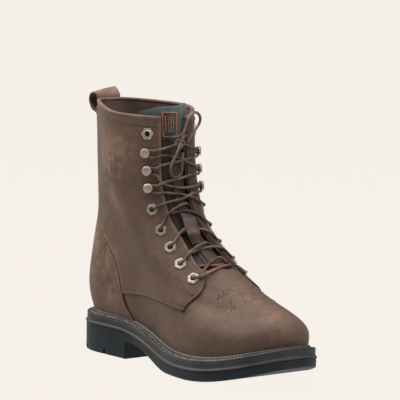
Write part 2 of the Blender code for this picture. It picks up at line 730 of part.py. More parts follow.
def seat(share, girth, depth):
    """Where a fitting sits on the leather: its frame has z along the normal and y up the facing."""
    normal = Vector(last_normal(share, girth))
    point = last_point(share, girth) + np.array(normal) * depth
    step = 1e-2
    up = Vector(last_point(share + step, girth) - last_point(share - step, girth))
    up = (up - up.dot(normal) * normal).normalized()
    frame = Matrix((up.cross(normal), up, normal)).transposed().to_4x4()
    frame.translation = Vector(placed(point))
    return frame


def add_fitting(name, points, faces, frame):
    """A metal fitting from points about its own seat."""
    thing = add_mesh(name, np.array(points) + ORIGIN, faces, NICKEL)
    thing.matrix_world = frame


def eyelet_shape():
    """Hexagonal eyelet with a round hole."""
    sides = EYELET_HOLE_SIDES
    turn = [2 * math.pi * i / sides for i in range(sides)]
    flat = EYELET_WIDTH / 2 * math.cos(math.pi / 6)
    rim = []
    for angle in turn:
        reach = flat / math.cos((angle + math.pi / 6) % (math.pi / 3) - math.pi / 6)
        rim.append((reach * math.cos(angle), reach * math.sin(angle)))
    hole = [(EYELET_HOLE / 2 * math.cos(a), EYELET_HOLE / 2 * math.sin(a)) for a in turn]
    chains = [(rim, 0.0), (rim, EYELET_EDGE), (hole, EYELET_THICK), (hole, 0.0)]
    return turned(chains, sides)


def turned(chains, sides):
    """Ring-shaped body from closed chains, each a plan and a height, the last joined to the first."""
    points = [(x, y, z) for plan, z in chains for x, y in plan]
    faces = []
    for level in range(len(chains)):
        near = np.append(np.arange(sides), 0) + level * sides
        far = np.append(np.arange(sides), 0) + (level + 1) % len(chains) * sides
        faces += strip_faces(near, far)
    return points, faces


def hook_shape():
    """Lace hook: a foot, a waist that holds the lace, and a domed head."""
    points = []
    for row in HOOK:
        for i in range(HOOK_SIDES):
            angle = 2 * math.pi * i / HOOK_SIDES
            points.append((row.radius * math.cos(angle), row.radius * math.sin(angle), row.height))
    faces = []
    for level in range(len(HOOK) - 1):
        near = np.append(np.arange(HOOK_SIDES), 0) + level * HOOK_SIDES
        faces += strip_faces(near, near + HOOK_SIDES)
    foot = list(range(HOOK_SIDES))[::-1]
    head = [i + (len(HOOK) - 1) * HOOK_SIDES for i in range(HOOK_SIDES)]
    return points, faces + [tuple(foot), tuple(head)]


def build_fittings():
    shapes = {"eyelet": eyelet_shape(), "hook": hook_shape()}
    depth = SEAM_GAP + OVERLAY + FITTING_LIFT
    for side, word in ((1, "lateral"), (-1, "medial")):
        for row in FITTINGS:
            girth = girth_from_front(row.share, row.aside)
            girth = girth if side > 0 else 2 - girth
            points, faces = shapes[row.kind]
            add_fitting(f"{row.name}_{word}", points, faces, seat(row.share, girth, depth))


def strand_points(first_side, steps=3):
    """One strand of the lacing: from facing to facing up to the top hook, then to the knot."""
    points = []
    side = first_side
    shares = [row.share for row in reversed(FITTINGS[1:])]
    for low, high in zip(shares[:-1], shares[1:]):
        start = facing_girth(low, LACE_TURN_INSET) * side
        end = facing_girth(high, LACE_TURN_INSET) * -side
        for i in range(steps):
            part = i / steps
            depth = LACE_OVER_QUARTER + (LACE_OVER_TONGUE - LACE_OVER_QUARTER) * math.sin(math.pi * part)
            share = low + (high - low) * float(ease(part, 0, 1))
            points.append(off_last(share, start + (end - start) * part, np.array(depth)))
        side = -side
    turn = facing_girth(shares[-1], LACE_TURN_INSET) * side
    points.append(off_last(shares[-1], turn, np.array(LACE_OVER_QUARTER)))
    points.append(np.array(KNOT_AT) - (0, side * (KNOT_RADII[1] + KNOT_CLEAR), 0))
    return np.array(points)


def tube(points, radius, sides):
    """Points and faces of a round tube along a chain of points."""
    along = np.gradient(points, axis=0)
    along /= np.linalg.norm(along, axis=1)[:, None]
    across = np.cross(along[0], (0.3, 0.2, 0.9))
    rings = []
    for point, direction in zip(points, along):
        across = across - across.dot(direction) * direction
        across /= np.linalg.norm(across)
        other = np.cross(direction, across)
        for i in range(sides):
            angle = 2 * math.pi * i / sides
            rings.append(point + radius * (math.cos(angle) * across + math.sin(angle) * other))
    faces = []
    for level in range(len(points) - 1):
        near = np.append(np.arange(sides), 0) + level * sides
        faces += strip_faces(near, near + sides)
    foot = list(range(sides))[::-1]
    head = [i + (len(points) - 1) * sides for i in range(sides)]
    return np.array(rings), faces + [tuple(foot), tuple(head)]


def build_lacing():
    """The two strands over the throat, joined where they cross. One is a shade thicker, so that no
    faces coincide."""
    first = add_mesh("lace_crossings", *tube(strand_points(1), LACE / 2, LACE_SIDES), CORD)
    radius = LACE / 2 * SECOND_STRAND_SCALE
    second = add_mesh("lace_second_strand", *tube(strand_points(-1), radius, LACE_SIDES))
    boolean(first, "UNION", second)


def build_cord(name, route, steps_per_span=3):
    """A free stretch of lace along a smooth curve through its route."""
    spans = len(route) - 1
    places = np.linspace(0, spans, spans * steps_per_span + 1)
    path = placed(spline(np.arange(len(route)), np.array(route, float), places))
    curve = bpy.data.curves.new(name, "CURVE")
    curve.dimensions = "3D"
    curve.bevel_depth = LACE / 2 / MM_PER_M
    curve.bevel_resolution = 1
    curve.use_fill_caps = True
    line = curve.splines.new("POLY")
    line.points.add(len(path) - 1)
    for point, place in zip(line.points, path):
        point.co = (*place, 1)
    curve.materials.append(material(CORD))
    bpy.context.scene.collection.objects.link(bpy.data.objects.new(name, curve))


def build_knot(rings=5, sides=10):
    """The bow's knot as a plain rounded lump."""
    points, faces = [], []
    for i in range(1, rings + 1):
        polar = math.pi * i / (rings + 1)
        for j in range(sides):
            angle = 2 * math.pi * j / sides
            unit = (math.sin(polar) * math.cos(angle), math.sin(polar) * math.sin(angle), -math.cos(polar))
            points.append([c + r * u for c, r, u in zip(KNOT_AT, KNOT_RADII, unit)])
    for level in range(rings - 1):
        near = np.append(np.arange(sides), 0) + level * sides
        faces += strip_faces(near, near + sides)
    faces += [tuple(range(sides))[::-1], tuple(i + (rings - 1) * sides for i in range(sides))]
    add_mesh("lace_knot", np.array(points), faces, CORD)


def clear_scene():
    for thing in list(bpy.data.objects):
        bpy.data.objects.remove(thing)


def main():
    clear_scene()
    build_outsole()
    build_midsole()
    build_welt()
    build_insole()
    build_upper()
    build_tongue()
    build_quarters()
    build_counter()
    build_pull_loop()
    build_fittings()
    build_lacing()
    build_knot()
    build_cord("lace_upper_loop", UPPER_LOOP)
    build_cord("lace_lower_loop", LOWER_LOOP)
    build_cord("lace_lateral_end", LATERAL_END)
    build_cord("lace_medial_end", MEDIAL_END)


main()
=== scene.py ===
# %% [markdown]
# # Dressing a lace-up work boot
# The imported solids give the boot's true form and its physics. This lesson dresses them, piece by piece,
# until they look like oiled leather, moulded rubber, nickel and waxed cord. Sizes are millimetres from the
# back of the upper at floor level: x runs to the toe, y to the inner side of the foot and z up. Only
# placed() knows metres.

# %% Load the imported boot
import math
from collections import namedtuple

import bmesh
import bpy
import numpy as np
from mathutils import Matrix, Vector, kdtree


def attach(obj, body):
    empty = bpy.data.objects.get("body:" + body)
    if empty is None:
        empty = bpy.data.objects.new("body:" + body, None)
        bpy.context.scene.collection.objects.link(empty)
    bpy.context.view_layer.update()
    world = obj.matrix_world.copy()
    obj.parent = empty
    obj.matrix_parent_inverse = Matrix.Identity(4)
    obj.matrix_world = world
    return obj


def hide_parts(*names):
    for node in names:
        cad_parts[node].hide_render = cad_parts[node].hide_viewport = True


MM_PER_M = 1000.0
ORIGIN = np.array([143.25, -2.1976, 0.0])

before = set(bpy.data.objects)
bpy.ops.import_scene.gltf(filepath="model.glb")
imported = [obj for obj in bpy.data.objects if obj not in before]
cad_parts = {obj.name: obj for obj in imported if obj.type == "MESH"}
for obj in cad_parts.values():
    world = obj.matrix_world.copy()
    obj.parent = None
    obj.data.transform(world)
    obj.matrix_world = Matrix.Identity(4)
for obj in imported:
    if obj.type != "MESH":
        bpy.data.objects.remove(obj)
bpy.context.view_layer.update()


def placed(points):
    """Millimetres from the heel's back to metres about the middle of the sole's box."""
    return (np.asarray(points, float) - ORIGIN) / MM_PER_M


# %% [markdown]
# ## The camera
# A product photograph is taken from far off with a long lens, so that the boot keeps its proportions. The
# camera here stands two metres away, a little above the toe and to the outer side. Its place could be found
# by eye, but it is worked out from the picture instead: where one point of the boot falls, and how large a
# millimetre is.

# %% Set up the camera
AZIMUTH, ELEVATION, ROLL = (math.radians(angle) for angle in (52.5, 7.1, 0.9))
AIM = np.array([150.0, 0.0, 120.0])
AIM_PX = (199.3, 240.5)
DISTANCE = 2010.0
FOCAL_PX = 2126.0
FRAME_PX = 400.0
SENSOR = 36.0


def camera_axes():
    """Right, up and backward directions of the camera."""
    level = math.cos(ELEVATION)
    back = np.array([math.sin(AZIMUTH) * level, -math.cos(AZIMUTH) * level, math.sin(ELEVATION)])
    right = np.array([math.cos(AZIMUTH), math.sin(AZIMUTH), 0.0])
    up = np.cross(back, right)
    turn, keep = math.sin(ROLL), math.cos(ROLL)
    return right * keep + up * turn, up * keep - right * turn, back


right, up, back = camera_axes()
middle = -back + (right * (FRAME_PX / 2 - AIM_PX[0]) + up * (AIM_PX[1] - FRAME_PX / 2)) / FOCAL_PX
view_z = Vector(-middle).normalized()
view_x = Vector(up).cross(view_z).normalized()
pose = Matrix((view_x, view_z.cross(view_x), view_z)).transposed().to_4x4()
pose.translation = Vector(placed(AIM + back * DISTANCE))

lens = bpy.data.cameras.new("Camera")
lens.sensor_width = SENSOR
lens.lens = FOCAL_PX * SENSOR / FRAME_PX
lens.clip_end = 200.0
camera = bpy.data.objects.new("Camera", lens)
camera.matrix_world = pose
bpy.context.scene.collection.objects.link(camera)
bpy.context.scene.camera = camera
print("lens", round(lens.lens, 1), "mm")

# %% [markdown]
# ## Colours and nodes
# Colours are noted as sRGB hex codes, the way a designer reads them off a sample. Shaders work in linear
# light, so one function turns every code into linear values. A second small function adds any shader or
# geometry node, with its settings and its links. Trees could be clicked together by hand, but as code they
# can be read and reused.

# %% Colour and node helpers


def linear(code):
    """Linear red, green, blue and alpha of an sRGB hex code."""
    channels = [int(code[i : i + 2], 16) / 255 for i in (1, 3, 5)]
    return tuple(c / 12.92 if c <= 0.04045 else ((c + 0.055) / 1.055) ** 2.4 for c in channels) + (1.0,)


def add_node(tree, kind, inputs=None, **settings):
    """Adds a node with its settings. An input is given a value, or linked where a socket is given."""
    node = tree.nodes.new(kind)
    for name, value in settings.items():
        setattr(node, name, value)
    for key, value in (inputs or {}).items():
        if isinstance(value, bpy.types.NodeSocket):
            tree.links.new(value, node.inputs[key])
        else:
            node.inputs[key].default_value = value
    return node


def new_material(name):
    """An empty material, its node tree and its main shader."""
    material = bpy.data.materials.new(name)
    material.use_nodes = True
    return material, material.node_tree, material.node_tree.nodes["Principled BSDF"]


print("white paper in linear light:", [round(channel, 3) for channel in linear("#f6f0e9")[:3]])

# %% [markdown]
# ## Steps of a material
# Leather, rubber, cloth, metal and cord are all drawn by the same few steps: cloudy noise, a blend of two
# colours, values that a piece's points carry and a fine relief. Each step is named once here, so that a
# recipe below reads as a short list. Sizes are millimetres of the real thing, turned into texture scales in
# one place.

# %% Material helpers


def per_mm(size):
    """Texture scale, in repeats per metre, for a pattern of a size in millimetres."""
    return MM_PER_M / size


def texture(tree, kind, size, output, inputs=None, **settings):
    """A pattern of a size in millimetres that sticks to the piece."""
    place = add_node(tree, "ShaderNodeTexCoord").outputs["Object"]
    inputs = {"Vector": place, "Scale": per_mm(size), **(inputs or {})}
    return add_node(tree, "ShaderNodeTex" + kind, inputs, **settings).outputs[output]


def noise(tree, size, detail):
    """Cloudy values, with clouds of a size in millimetres."""
    return texture(tree, "Noise", size, 0, {"Detail": detail})


def noted(tree, name):
    """A value that the piece's points carry."""
    return add_node(tree, "ShaderNodeAttribute", attribute_name=name).outputs["Fac"]


def spread_out(tree, value, low, high):
    """Values from low to high, spread from 0 to 1."""
    return add_node(tree, "ShaderNodeMapRange", {0: value, 1: low, 2: high}).outputs[0]


def product(tree, first, second):
    """One value times another."""
    return add_node(tree, "ShaderNodeMath", {0: first, 1: second}, operation="MULTIPLY").outputs[0]


def between(tree, share, low, high):
    """A value a share of the way between two."""
    return add_node(tree, "ShaderNodeMix", {0: share, 2: low, 3: high}).outputs[0]


def blend(tree, share, low, high):
    """A colour a share of the way between two, which are hex codes or sockets."""
    low, high = (linear(colour) if isinstance(colour, str) else colour for colour in (low, high))
    return add_node(tree, "ShaderNodeMix", {0: share, 6: low, 7: high}, data_type="RGBA").outputs[2]


def relief(tree, shader, height, strength, depth):
    """A fine bump, with its depth in millimetres."""
    inputs = {"Strength": strength, "Distance": depth / MM_PER_M, "Height": height}
    tree.links.new(add_node(tree, "ShaderNodeBump", inputs).outputs[0], shader.inputs["Normal"])


def set_values(shader, **values):
    """Constant values of a shader's sockets, whose names are written with underscores."""
    for name, value in values.items():
        shader.inputs[name.replace("_", " ")].default_value = value


print("material helpers ready")

# %% [markdown]
# ## Floor and light
# In the photograph the boot stands on pale paper that shows no shadow at all. A lit floor could be tuned to
# come near it, but paper that gives off its own colour is exact from every side, so the floor here glows
# and takes almost no light. Large soft lamps then model the leather: a main one from behind on the outer
# side, a weaker one from the inner side, and one from above.

# %% Build the studio
PAPER = "#f6f0e9"
FLOOR_SHADE = "#141312"
FLOOR_RADIUS, FLOOR_SIDES = 60.0, 96
LAMPS_AIM_Z = 0.1
FLOOR_GLOW, WORLD_GLOW = 0.99, 0.3


def add_lamp(name, azimuth, elevation, distance, size, power, tint):
    """A square soft lamp that faces the boot, placed by the direction it shines from."""
    a, e = math.radians(azimuth), math.radians(elevation)
    direction = Vector((math.sin(a) * math.cos(e), -math.cos(a) * math.cos(e), math.sin(e)))
    data = bpy.data.lights.new(name, "AREA")
    data.shape, data.size, data.energy, data.color = "SQUARE", size, power, linear(tint)[:3]
    lamp = bpy.data.objects.new(name, data)
    lamp.location = Vector((0.0, 0.0, LAMPS_AIM_Z)) + direction * distance
    lamp.rotation_euler = direction.to_track_quat("Z", "Y").to_euler()
    bpy.context.scene.collection.objects.link(lamp)


material, tree, shader = new_material("Matt studio paper")
set_values(shader, Base_Color=linear(FLOOR_SHADE), Roughness=0.95, Specular_IOR_Level=0.0)
set_values(shader, Emission_Color=linear(PAPER), Emission_Strength=FLOOR_GLOW)
bpy.ops.mesh.primitive_circle_add(
    vertices=FLOOR_SIDES, radius=FLOOR_RADIUS, fill_type="TRIFAN", location=(0, 0, 0)
)
floor = bpy.context.object
floor.name = "studio_floor"
floor.data.materials.append(material)

world = bpy.data.worlds.new("Studio")
world.use_nodes = True
set_values(world.node_tree.nodes["Background"], Color=linear(PAPER), Strength=WORLD_GLOW)
bpy.context.scene.world = world
bpy.context.scene.view_settings.view_transform = "Standard"

# Each lamp: direction and height in degrees, distance and size in metres, watts and tint
add_lamp("main_lamp", -66, 45, 1.7, 1.3, 38, "#fff6ea")
add_lamp("inner_lamp", 110, 42, 1.8, 1.4, 17, "#fff8f0")
add_lamp("top_lamp", 60, 82, 1.6, 1.0, 22, "#ffffff")

# %% [markdown]
# ## The last
# Shoemakers pull the upper over a last, a solid foot of wood or plastic. Here the last is a set of level
# loops from the sole to the collar, joined by smooth curves. A point on it is named by its share of the way
# up and by its girth, which runs from the front along the outer side to the back at 1 and home again at 2.
# The tables are those of the solids, so that everything sewn on later fits them. Three things differ for the
# look: the throat's edges are measured anew, the lace has drawn both facings a few millimetres to the outer
# side, and the collar's rim rises and falls a little.

# %% Tables of the last and the sole
TOE_X, BALL_X, BREAST_X, BREAST_RAKE = 296.0, 195.0, 84.0, 1.5
TOE_SPRING, TOE_SPRING_POWER = 20.0, 1.9
ARCH_Z, ARCH_FLAT_X, ARCH_END_X = 16.6, 92.0, 168.0
DECK_HEEL_Z, DECK_BALL_Z, DECK_RAMP_X, DECK_SPRING_SHARE = 35.8, 17.8, (66.0, 186.0), 0.97
SEAT_GAP = 0.8
WALL = 2.0

SoleRow = namedtuple("SoleRow", "share x lateral medial")
SOLE = (
    SoleRow(0.0, 296.0, 0.0, 0.0),
    SoleRow(0.085, 290.0, 26.0, 26.0),
    SoleRow(0.16, 275.0, 40.5, 39.5),
    SoleRow(0.37, 199.0, 55.0, 50.0),
    SoleRow(0.59, 116.0, 41.0, 35.0),
    SoleRow(0.78, 49.0, 40.0, 38.5),
    SoleRow(0.91, 8.0, 30.5, 29.5),
    SoleRow(1.0, -9.5, 0.0, 0.0),
)
LoopRow = namedtuple(
    "LoopRow",
    "name share front_x front_z shoulder_z ball_z back_x back_z square shoulder ball waist heel rump lean",
)
LOOPS = (
    LoopRow("feather", 0.00, 283, 36, 33, 22, 3.0, 36, 0.80, 35.0, 47.0, 33.0, 31.5, 23.0, 0),
    LoopRow("wall", 0.05, 285, 48, 44, 38, -3.0, 58, 0.72, 35.5, 49.5, 35.5, 34.5, 25.5, 0),
    LoopRow("crown", 0.12, 277, 62, 56, 55, -3.0, 80, 0.55, 31.5, 48.0, 36.5, 36.0, 26.0, 0),
    LoopRow("box", 0.20, 257, 72, 64, 70, 1.5, 100, 0.30, 28.0, 44.5, 37.0, 36.5, 25.5, 0),
    LoopRow("vamp", 0.31, 230, 83, 75, 86, 5.5, 120, 0.15, 26.0, 41.5, 37.5, 36.0, 22.5, -2),
    LoopRow("throat", 0.42, 202, 98, 90, 105, 8.0, 140, 0.05, 24.5, 40.0, 37.5, 33.0, 18.2, -4),
    LoopRow("instep", 0.54, 171, 120, 113, 127, 9.0, 160, 0.0, 23.0, 39.5, 38.0, 30.4, 16.6, -5),
    LoopRow("ankle", 0.67, 146, 148, 145, 152, 9.0, 182, 0.0, 22.0, 40.5, 39.0, 28.8, 15.6, -6),
    LoopRow("shaft", 0.82, 132, 188, 188, 192, 7.5, 212, 0.0, 21.5, 41.5, 40.5, 28.2, 15.2, -6),
    LoopRow("collar", 1.00, 129, 235, 236, 238, 5.5, 250, 0.0, 21.5, 42.5, 41.5, 28.2, 15.2, -6),
)
SIDE_PLACES = {"shoulder": 0.055, "ball": 0.32, "waist": 0.58, "heel": 0.82, "rump": 0.955}
CORNER_WIDTH, CORNER_SETBACK_ROUND, CORNER_SETBACK_SQUARE = 0.66, 0.436, 0.10
LEAN_AT_BACK = 0.65
# Distances of the facings' edges from the front line. The laced facings are drawn towards the lateral side.
ThroatRow = namedtuple("ThroatRow", "share lateral medial")
THROAT = (
    ThroatRow(0.426, 0.0, 0.0),
    ThroatRow(0.430, 9.0, 7.0),
    ThroatRow(0.436, 15.0, 11.0),
    ThroatRow(0.445, 19.5, 13.5),
    ThroatRow(0.460, 22.5, 14.5),
    ThroatRow(0.485, 23.0, 13.5),
    ThroatRow(0.552, 21.0, 13.0),
    ThroatRow(0.600, 21.0, 11.0),
    ThroatRow(0.655, 23.3, 8.5),
    ThroatRow(0.708, 23.2, 8.5),
    ThroatRow(0.748, 24.0, 10.0),
    ThroatRow(0.880, 22.0, 10.5),
    ThroatRow(1.000, 22.0, 10.5),
)
PULL, PULL_SHARES, PULL_LATERAL, PULL_MEDIAL = 6.0, (0.45, 0.62), (0.0, 0.12), (1.55, 1.80)
# How far the collar's rim rises or falls from the last's level top, by girth
RIM_GIRTHS = (0.0, 0.6, 0.8, 1.0, 1.2, 1.5, 1.8, 1.92, 2.0)
RIM_RISES = (0.0, 0.0, -0.8, -3.0, -0.5, 3.6, 4.0, 1.0, 0.0)
RIM_FROM = 0.86
print("levels of the last:", len(LOOPS))

# %% [markdown]
# ## Smooth curves
# A few rows of a table become a smooth form by a natural spline, the curve of a thin springy batten held at
# some points. Blender's own curves could do it, but plain arrays can be measured and moved aside at any
# place.

# %% Smooth curves


def spline(knots, values, at, own=False):
    """Natural cubic spline through values at knots. With own, each place in at has a curve of its own."""
    knots, values, at = np.asarray(knots, float), np.asarray(values, float), np.asarray(at, float)
    count, gaps = len(knots), np.diff(knots)
    matrix, right_side = np.eye(count), np.zeros(values.shape)
    for i in range(1, count - 1):
        matrix[i, i - 1 : i + 2] = gaps[i - 1], 2 * (gaps[i - 1] + gaps[i]), gaps[i]
        slope_after = (values[i + 1] - values[i]) / gaps[i]
        right_side[i] = 6 * (slope_after - (values[i] - values[i - 1]) / gaps[i - 1])
    bends = np.linalg.solve(matrix, right_side.reshape(count, -1)).reshape(values.shape)
    i = np.clip(np.searchsorted(knots, at) - 1, 0, count - 2)
    lows, highs = ((i, np.arange(len(at))), (i + 1, np.arange(len(at)))) if own else (i, i + 1)
    spread = (slice(None),) + (None,) * (values.ndim - (2 if own else 1))
    after, before, gap = (at - knots[i])[spread], (knots[i + 1] - at)[spread], gaps[i][spread]
    cubic = (bends[lows] * before**3 + bends[highs] * after**3) / (6 * gap)
    low_part = (values[lows] / gap - bends[lows] * gap / 6) * before
    return cubic + low_part + (values[highs] / gap - bends[highs] * gap / 6) * after


def ease(x, start, end):
    """0 before start, 1 after end, and a smooth step between."""
    share = np.clip((np.asarray(x, float) - start) / (end - start), 0, 1)
    return share * share * (3 - 2 * share)


def band(distance, middle, width):
    """1 in the middle of a band, fading to both sides."""
    return np.exp(-(((distance - middle) / width) ** 2))


def ring(lateral, medial, at):
    """Closed curve through half rows from toe to back: at 0 the toe, 1 the back, 2 the toe again."""
    shares = np.array([row.share for row in SOLE])
    wrap = 5
    knots = np.concatenate([-shares[wrap - 1 : 0 : -1], shares, 2 - shares[-2:0:-1], 2 + shares[:wrap]])
    points = np.concatenate([medial[wrap - 1 : 0 : -1], lateral, medial[-2:0:-1], lateral[:wrap]])
    return spline(knots, points, np.mod(at, 2))


print("a smooth step is", float(ease(0.25, 0.0, 1.0)), "a quarter of the way along")

# %% [markdown]
# ## Curves of the sole
# The sole is drawn by its outline from above and by two heights: that of the tread, which curls up at the
# toe, and that of the deck, which slopes down from the raised heel to the ball of the foot.

# %% Curves of the sole


def tread_z(x):
    """Height of the walking surface of the forefoot: flat under the ball, rising to the toe."""
    past = np.maximum(np.asarray(x, float) - BALL_X, 0) / (TOE_X - BALL_X)
    return TOE_SPRING * past**TOE_SPRING_POWER


def deck_z(x):
    """Height of the top of the midsole, where upper, welt and insole sit."""
    return DECK_HEEL_Z + (DECK_BALL_Z - DECK_HEEL_Z) * ease(x, *DECK_RAMP_X) + tread_z(x) * DECK_SPRING_SHARE


def sideways(curve, at, grow):
    """A closed plan curve moved outward by grow."""
    step, at = 1e-3, np.asarray(at, float)
    run = curve(at + step) - curve(at - step)
    run /= np.linalg.norm(run, axis=1)[:, None]
    return curve(at) + np.asarray(grow, float).reshape(-1, 1) * np.stack([-run[:, 1], run[:, 0]], 1)


def sole_outline(at, grow=0.0):
    """The sole's outline in plan."""
    lateral = np.array([(row.x, -row.lateral) for row in SOLE])
    medial = np.array([(row.x, row.medial) for row in SOLE])
    return sideways(lambda places: ring(lateral, medial, places), at, grow)


print("deck height", deck_z(0.0).round(1), "mm at the heel,", deck_z(BALL_X).round(1), "mm at the ball")

# %% [markdown]
# ## Surface of the last
# Each level of the last is a closed loop through a few named places, from the toe's corner to the rump.
# Splines up through the levels make the surface. Its normal, and its directions up and round, say where
# anything laid on it stands, so that panels, stitches and lace all follow the foot.

# %% Surface of the last


def loop_sides(row):
    """Lateral and medial halves of one level of the last, from its front to its back."""
    length = row.front_x - row.back_x
    xs = {name: row.front_x - place * length for name, place in SIDE_PLACES.items()}
    setback = CORNER_SETBACK_ROUND * (1 - row.square) + CORNER_SETBACK_SQUARE * row.square
    corner_x = row.front_x - setback * (row.front_x - xs["shoulder"])
    corner_z = row.front_z - setback * (row.front_z - row.shoulder_z)
    points = [(row.front_x, 0, row.front_z), (corner_x, CORNER_WIDTH * row.shoulder, corner_z)]
    points.append((xs["shoulder"], row.shoulder, row.shoulder_z))
    rise = (row.back_z - row.ball_z) / (xs["ball"] - row.back_x)
    for name in ("ball", "waist", "heel", "rump"):
        points.append((xs[name], getattr(row, name), row.ball_z + rise * (xs["ball"] - xs[name])))
    half = np.array(points + [(row.back_x, 0, row.back_z)], float)
    if row.name == "feather":
        half[:, 2] = deck_z(half[:, 0]) + SEAT_GAP
    lateral, medial = half * (1, -1, 1), half.copy()
    forward = (half[:, 0] - row.back_x) / length
    lean = row.lean * (LEAN_AT_BACK + (1 - LEAN_AT_BACK) * forward)
    lateral[:, 1] += lean
    medial[:, 1] += lean
    return lateral, medial


LEVELS = [loop_sides(row) for row in LOOPS]
LEVEL_SHARES = np.array([row.share for row in LOOPS])


def plain_last(share, girth):
    """The last's surface as the tables give it."""
    share, girth = np.broadcast_arrays(np.asarray(share, float), np.asarray(girth, float))
    levels = np.stack([ring(lateral, medial, girth.ravel()) for lateral, medial in LEVELS])
    flat = spline(LEVEL_SHARES, levels, np.clip(share.ravel(), 0, 1), own=True)
    return flat.reshape(share.shape + (3,))


def last_point(share, girth):
    """The last's surface, with the facings drawn aside by the lace, and the rim's rise and fall."""
    point = plain_last(share, girth)
    place = np.mod(girth, 2)
    aside = np.where(place < 1, 1 - ease(place, *PULL_LATERAL), ease(place, *PULL_MEDIAL))
    point[..., 1] -= PULL * aside * ease(share, *PULL_SHARES)
    point[..., 2] += np.interp(place, RIM_GIRTHS, RIM_RISES) * ease(share, RIM_FROM, 1.0)
    return point


def unit(vectors):
    """Vectors scaled to a length of one."""
    return vectors / np.linalg.norm(vectors, axis=-1, keepdims=True)


def last_frame(share, girth):
    """Point, outward normal, and the directions up and round the last."""
    share, girth = np.asarray(share, float), np.asarray(girth, float)
    step = 2e-3
    high, low = np.minimum(share + step, 1), np.maximum(share - step, 0)
    up_run = (last_point(high, girth) - last_point(low, girth)) / (high - low)[..., None]
    round_run = (last_point(share, girth + step) - last_point(share, girth - step)) / (2 * step)
    return last_point(share, girth), unit(np.cross(up_run, round_run)), up_run, round_run


def off_last(share, girth, depth):
    """A point of the last moved outward by depth, kept on the deck along the feather edge."""
    share, girth = np.broadcast_arrays(np.asarray(share, float), np.asarray(girth, float))
    point, normal, _, _ = last_frame(share, girth)
    point = point + normal * np.broadcast_to(depth, share.shape)[..., None]
    point[..., 2] = np.where(share <= 0, deck_z(point[..., 0]) + SEAT_GAP, point[..., 2])
    return point


def gap_to(share, side=1):
    """Distance from the front line to a facing's edge. side is 1 for lateral and -1 for medial."""
    gaps = [row.lateral if side > 0 else row.medial for row in THROAT]
    return np.interp(share, [row.share for row in THROAT], gaps)


def girth_from_front(share, distance):
    """Girth at a distance along the surface from the front line, negative on the medial side."""
    girths = np.linspace(0, 0.6, 81)
    found = np.interp(np.abs(distance), run_length(plain_last(share, girths)), girths)
    return np.copysign(found, distance)


def run_length(points):
    """Length along a chain of points, from 0 at its start."""
    return np.concatenate([[0], np.cumsum(np.linalg.norm(np.diff(points, axis=0), axis=1))])


def throat_girth(share, side=1):
    """Girth of a facing's edge."""
    return girth_from_front(share, side * gap_to(share, side))


front_z, back_z = (last_point(1.0, girth)[2].round(1) for girth in (0.0, 1.0))
print("collar height", front_z, "mm in front,", back_z, "mm behind")

# %% [markdown]
# ## Making meshes
# Most pieces here are grids of points bent to the last. The helpers below turn a grid into faces, close two
# grids into a slab and add the result to the scene at its real place. Points that coincide are merged and
# the faces are turned outward, because a shoe's many folds make it easy to get one inside out.

# %% Mesh helpers
MERGE_M = 1e-7


def quads(rows, columns, start=0, closed=False):
    """Faces over a grid of points. A closed grid joins its last column to its first."""
    i, j = np.meshgrid(np.arange(rows - 1), np.arange(columns if closed else columns - 1), indexing="ij")
    beside = (j + 1) % columns
    corners = (i * columns + j, i * columns + beside, (i + 1) * columns + beside, (i + 1) * columns + j)
    return (start + np.stack(corners, -1).reshape(-1, 4)).tolist()


def bridge(near, far):
    """Faces between two chains of point numbers."""
    return np.stack([near[:-1], near[1:], far[1:], far[:-1]], -1).tolist()


def slab(outer, inner):
    """Points and faces of the closed slab between two grids."""
    rows, columns = outer.shape[:2]
    size = rows * columns
    numbers = np.arange(size).reshape(rows, columns)
    rim = np.concatenate([numbers[0], numbers[1:, -1], numbers[-1, -2::-1], numbers[-2::-1, 0]])
    faces = quads(rows, columns) + quads(rows, columns, size) + bridge(rim, rim + size)
    return np.concatenate([outer.reshape(-1, 3), inner.reshape(-1, 3)]), faces


def loft(sections):
    """Points and faces of a body through closed sections, which end in a line or a point."""
    rows, columns = sections.shape[:2]
    return sections.reshape(-1, 3), quads(rows, columns, closed=True)


def add_piece(name, points, faces, finish, attributes=None, sharp=180.0):
    """A mesh object from points in millimetres, with named values for its points."""
    mesh = bpy.data.meshes.new(name)
    mesh.from_pydata(placed(points).tolist(), [], faces)
    for key, values in (attributes or {}).items():
        layer = mesh.attributes.new(key, "FLOAT", "POINT")
        layer.data.foreach_set("value", np.asarray(values, float).ravel())
    work = bmesh.new()
    work.from_mesh(mesh)
    bmesh.ops.remove_doubles(work, verts=work.verts, dist=MERGE_M)
    bmesh.ops.dissolve_degenerate(work, edges=work.edges, dist=MERGE_M / 10)
    bmesh.ops.recalc_face_normals(work, faces=work.faces)
    work.to_mesh(mesh)
    work.free()
    mesh.shade_smooth()
    if sharp < 180:
        mesh.set_sharp_from_angle(angle=math.radians(sharp))
    mesh.materials.append(finish)
    thing = bpy.data.objects.new(name, mesh)
    bpy.context.scene.collection.objects.link(thing)
    return thing


def dress(piece, slot, *nodes):
    """Makes a finished piece ride with the boot, in place of its solids. The slot is not used."""
    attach(piece, "root")
    if nodes:
        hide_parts(*nodes)
    print(piece.name, len(piece.data.polygons), "faces")


print("mesh helpers ready")

# %% [markdown]
# ## The leather
# The upper is oiled nubuck-like cowhide: matt, soft brown, cloudy where hands and oil have darkened it,
# paler where it was pulled or rubbed. Its grain is far finer than a pixel, so it is drawn about twice as
# coarse as it is to show at all. A photograph of leather could be laid on it, but noise at two sizes never
# repeats. Pale places, from wear and from painted light, and dark places, from cut edges and from oil and
# painted shade on the facings, come from values that each piece notes on its points.

# %% Leather materials
CLOUD, MOTTLE, GRAIN, MOTTLE_SHARE = 38.0, 7.0, 1.7, 0.4
# The cut-edge colour also darkens the facings' fronts, as oil and painted shade
CUT_EDGE = "#33231d"


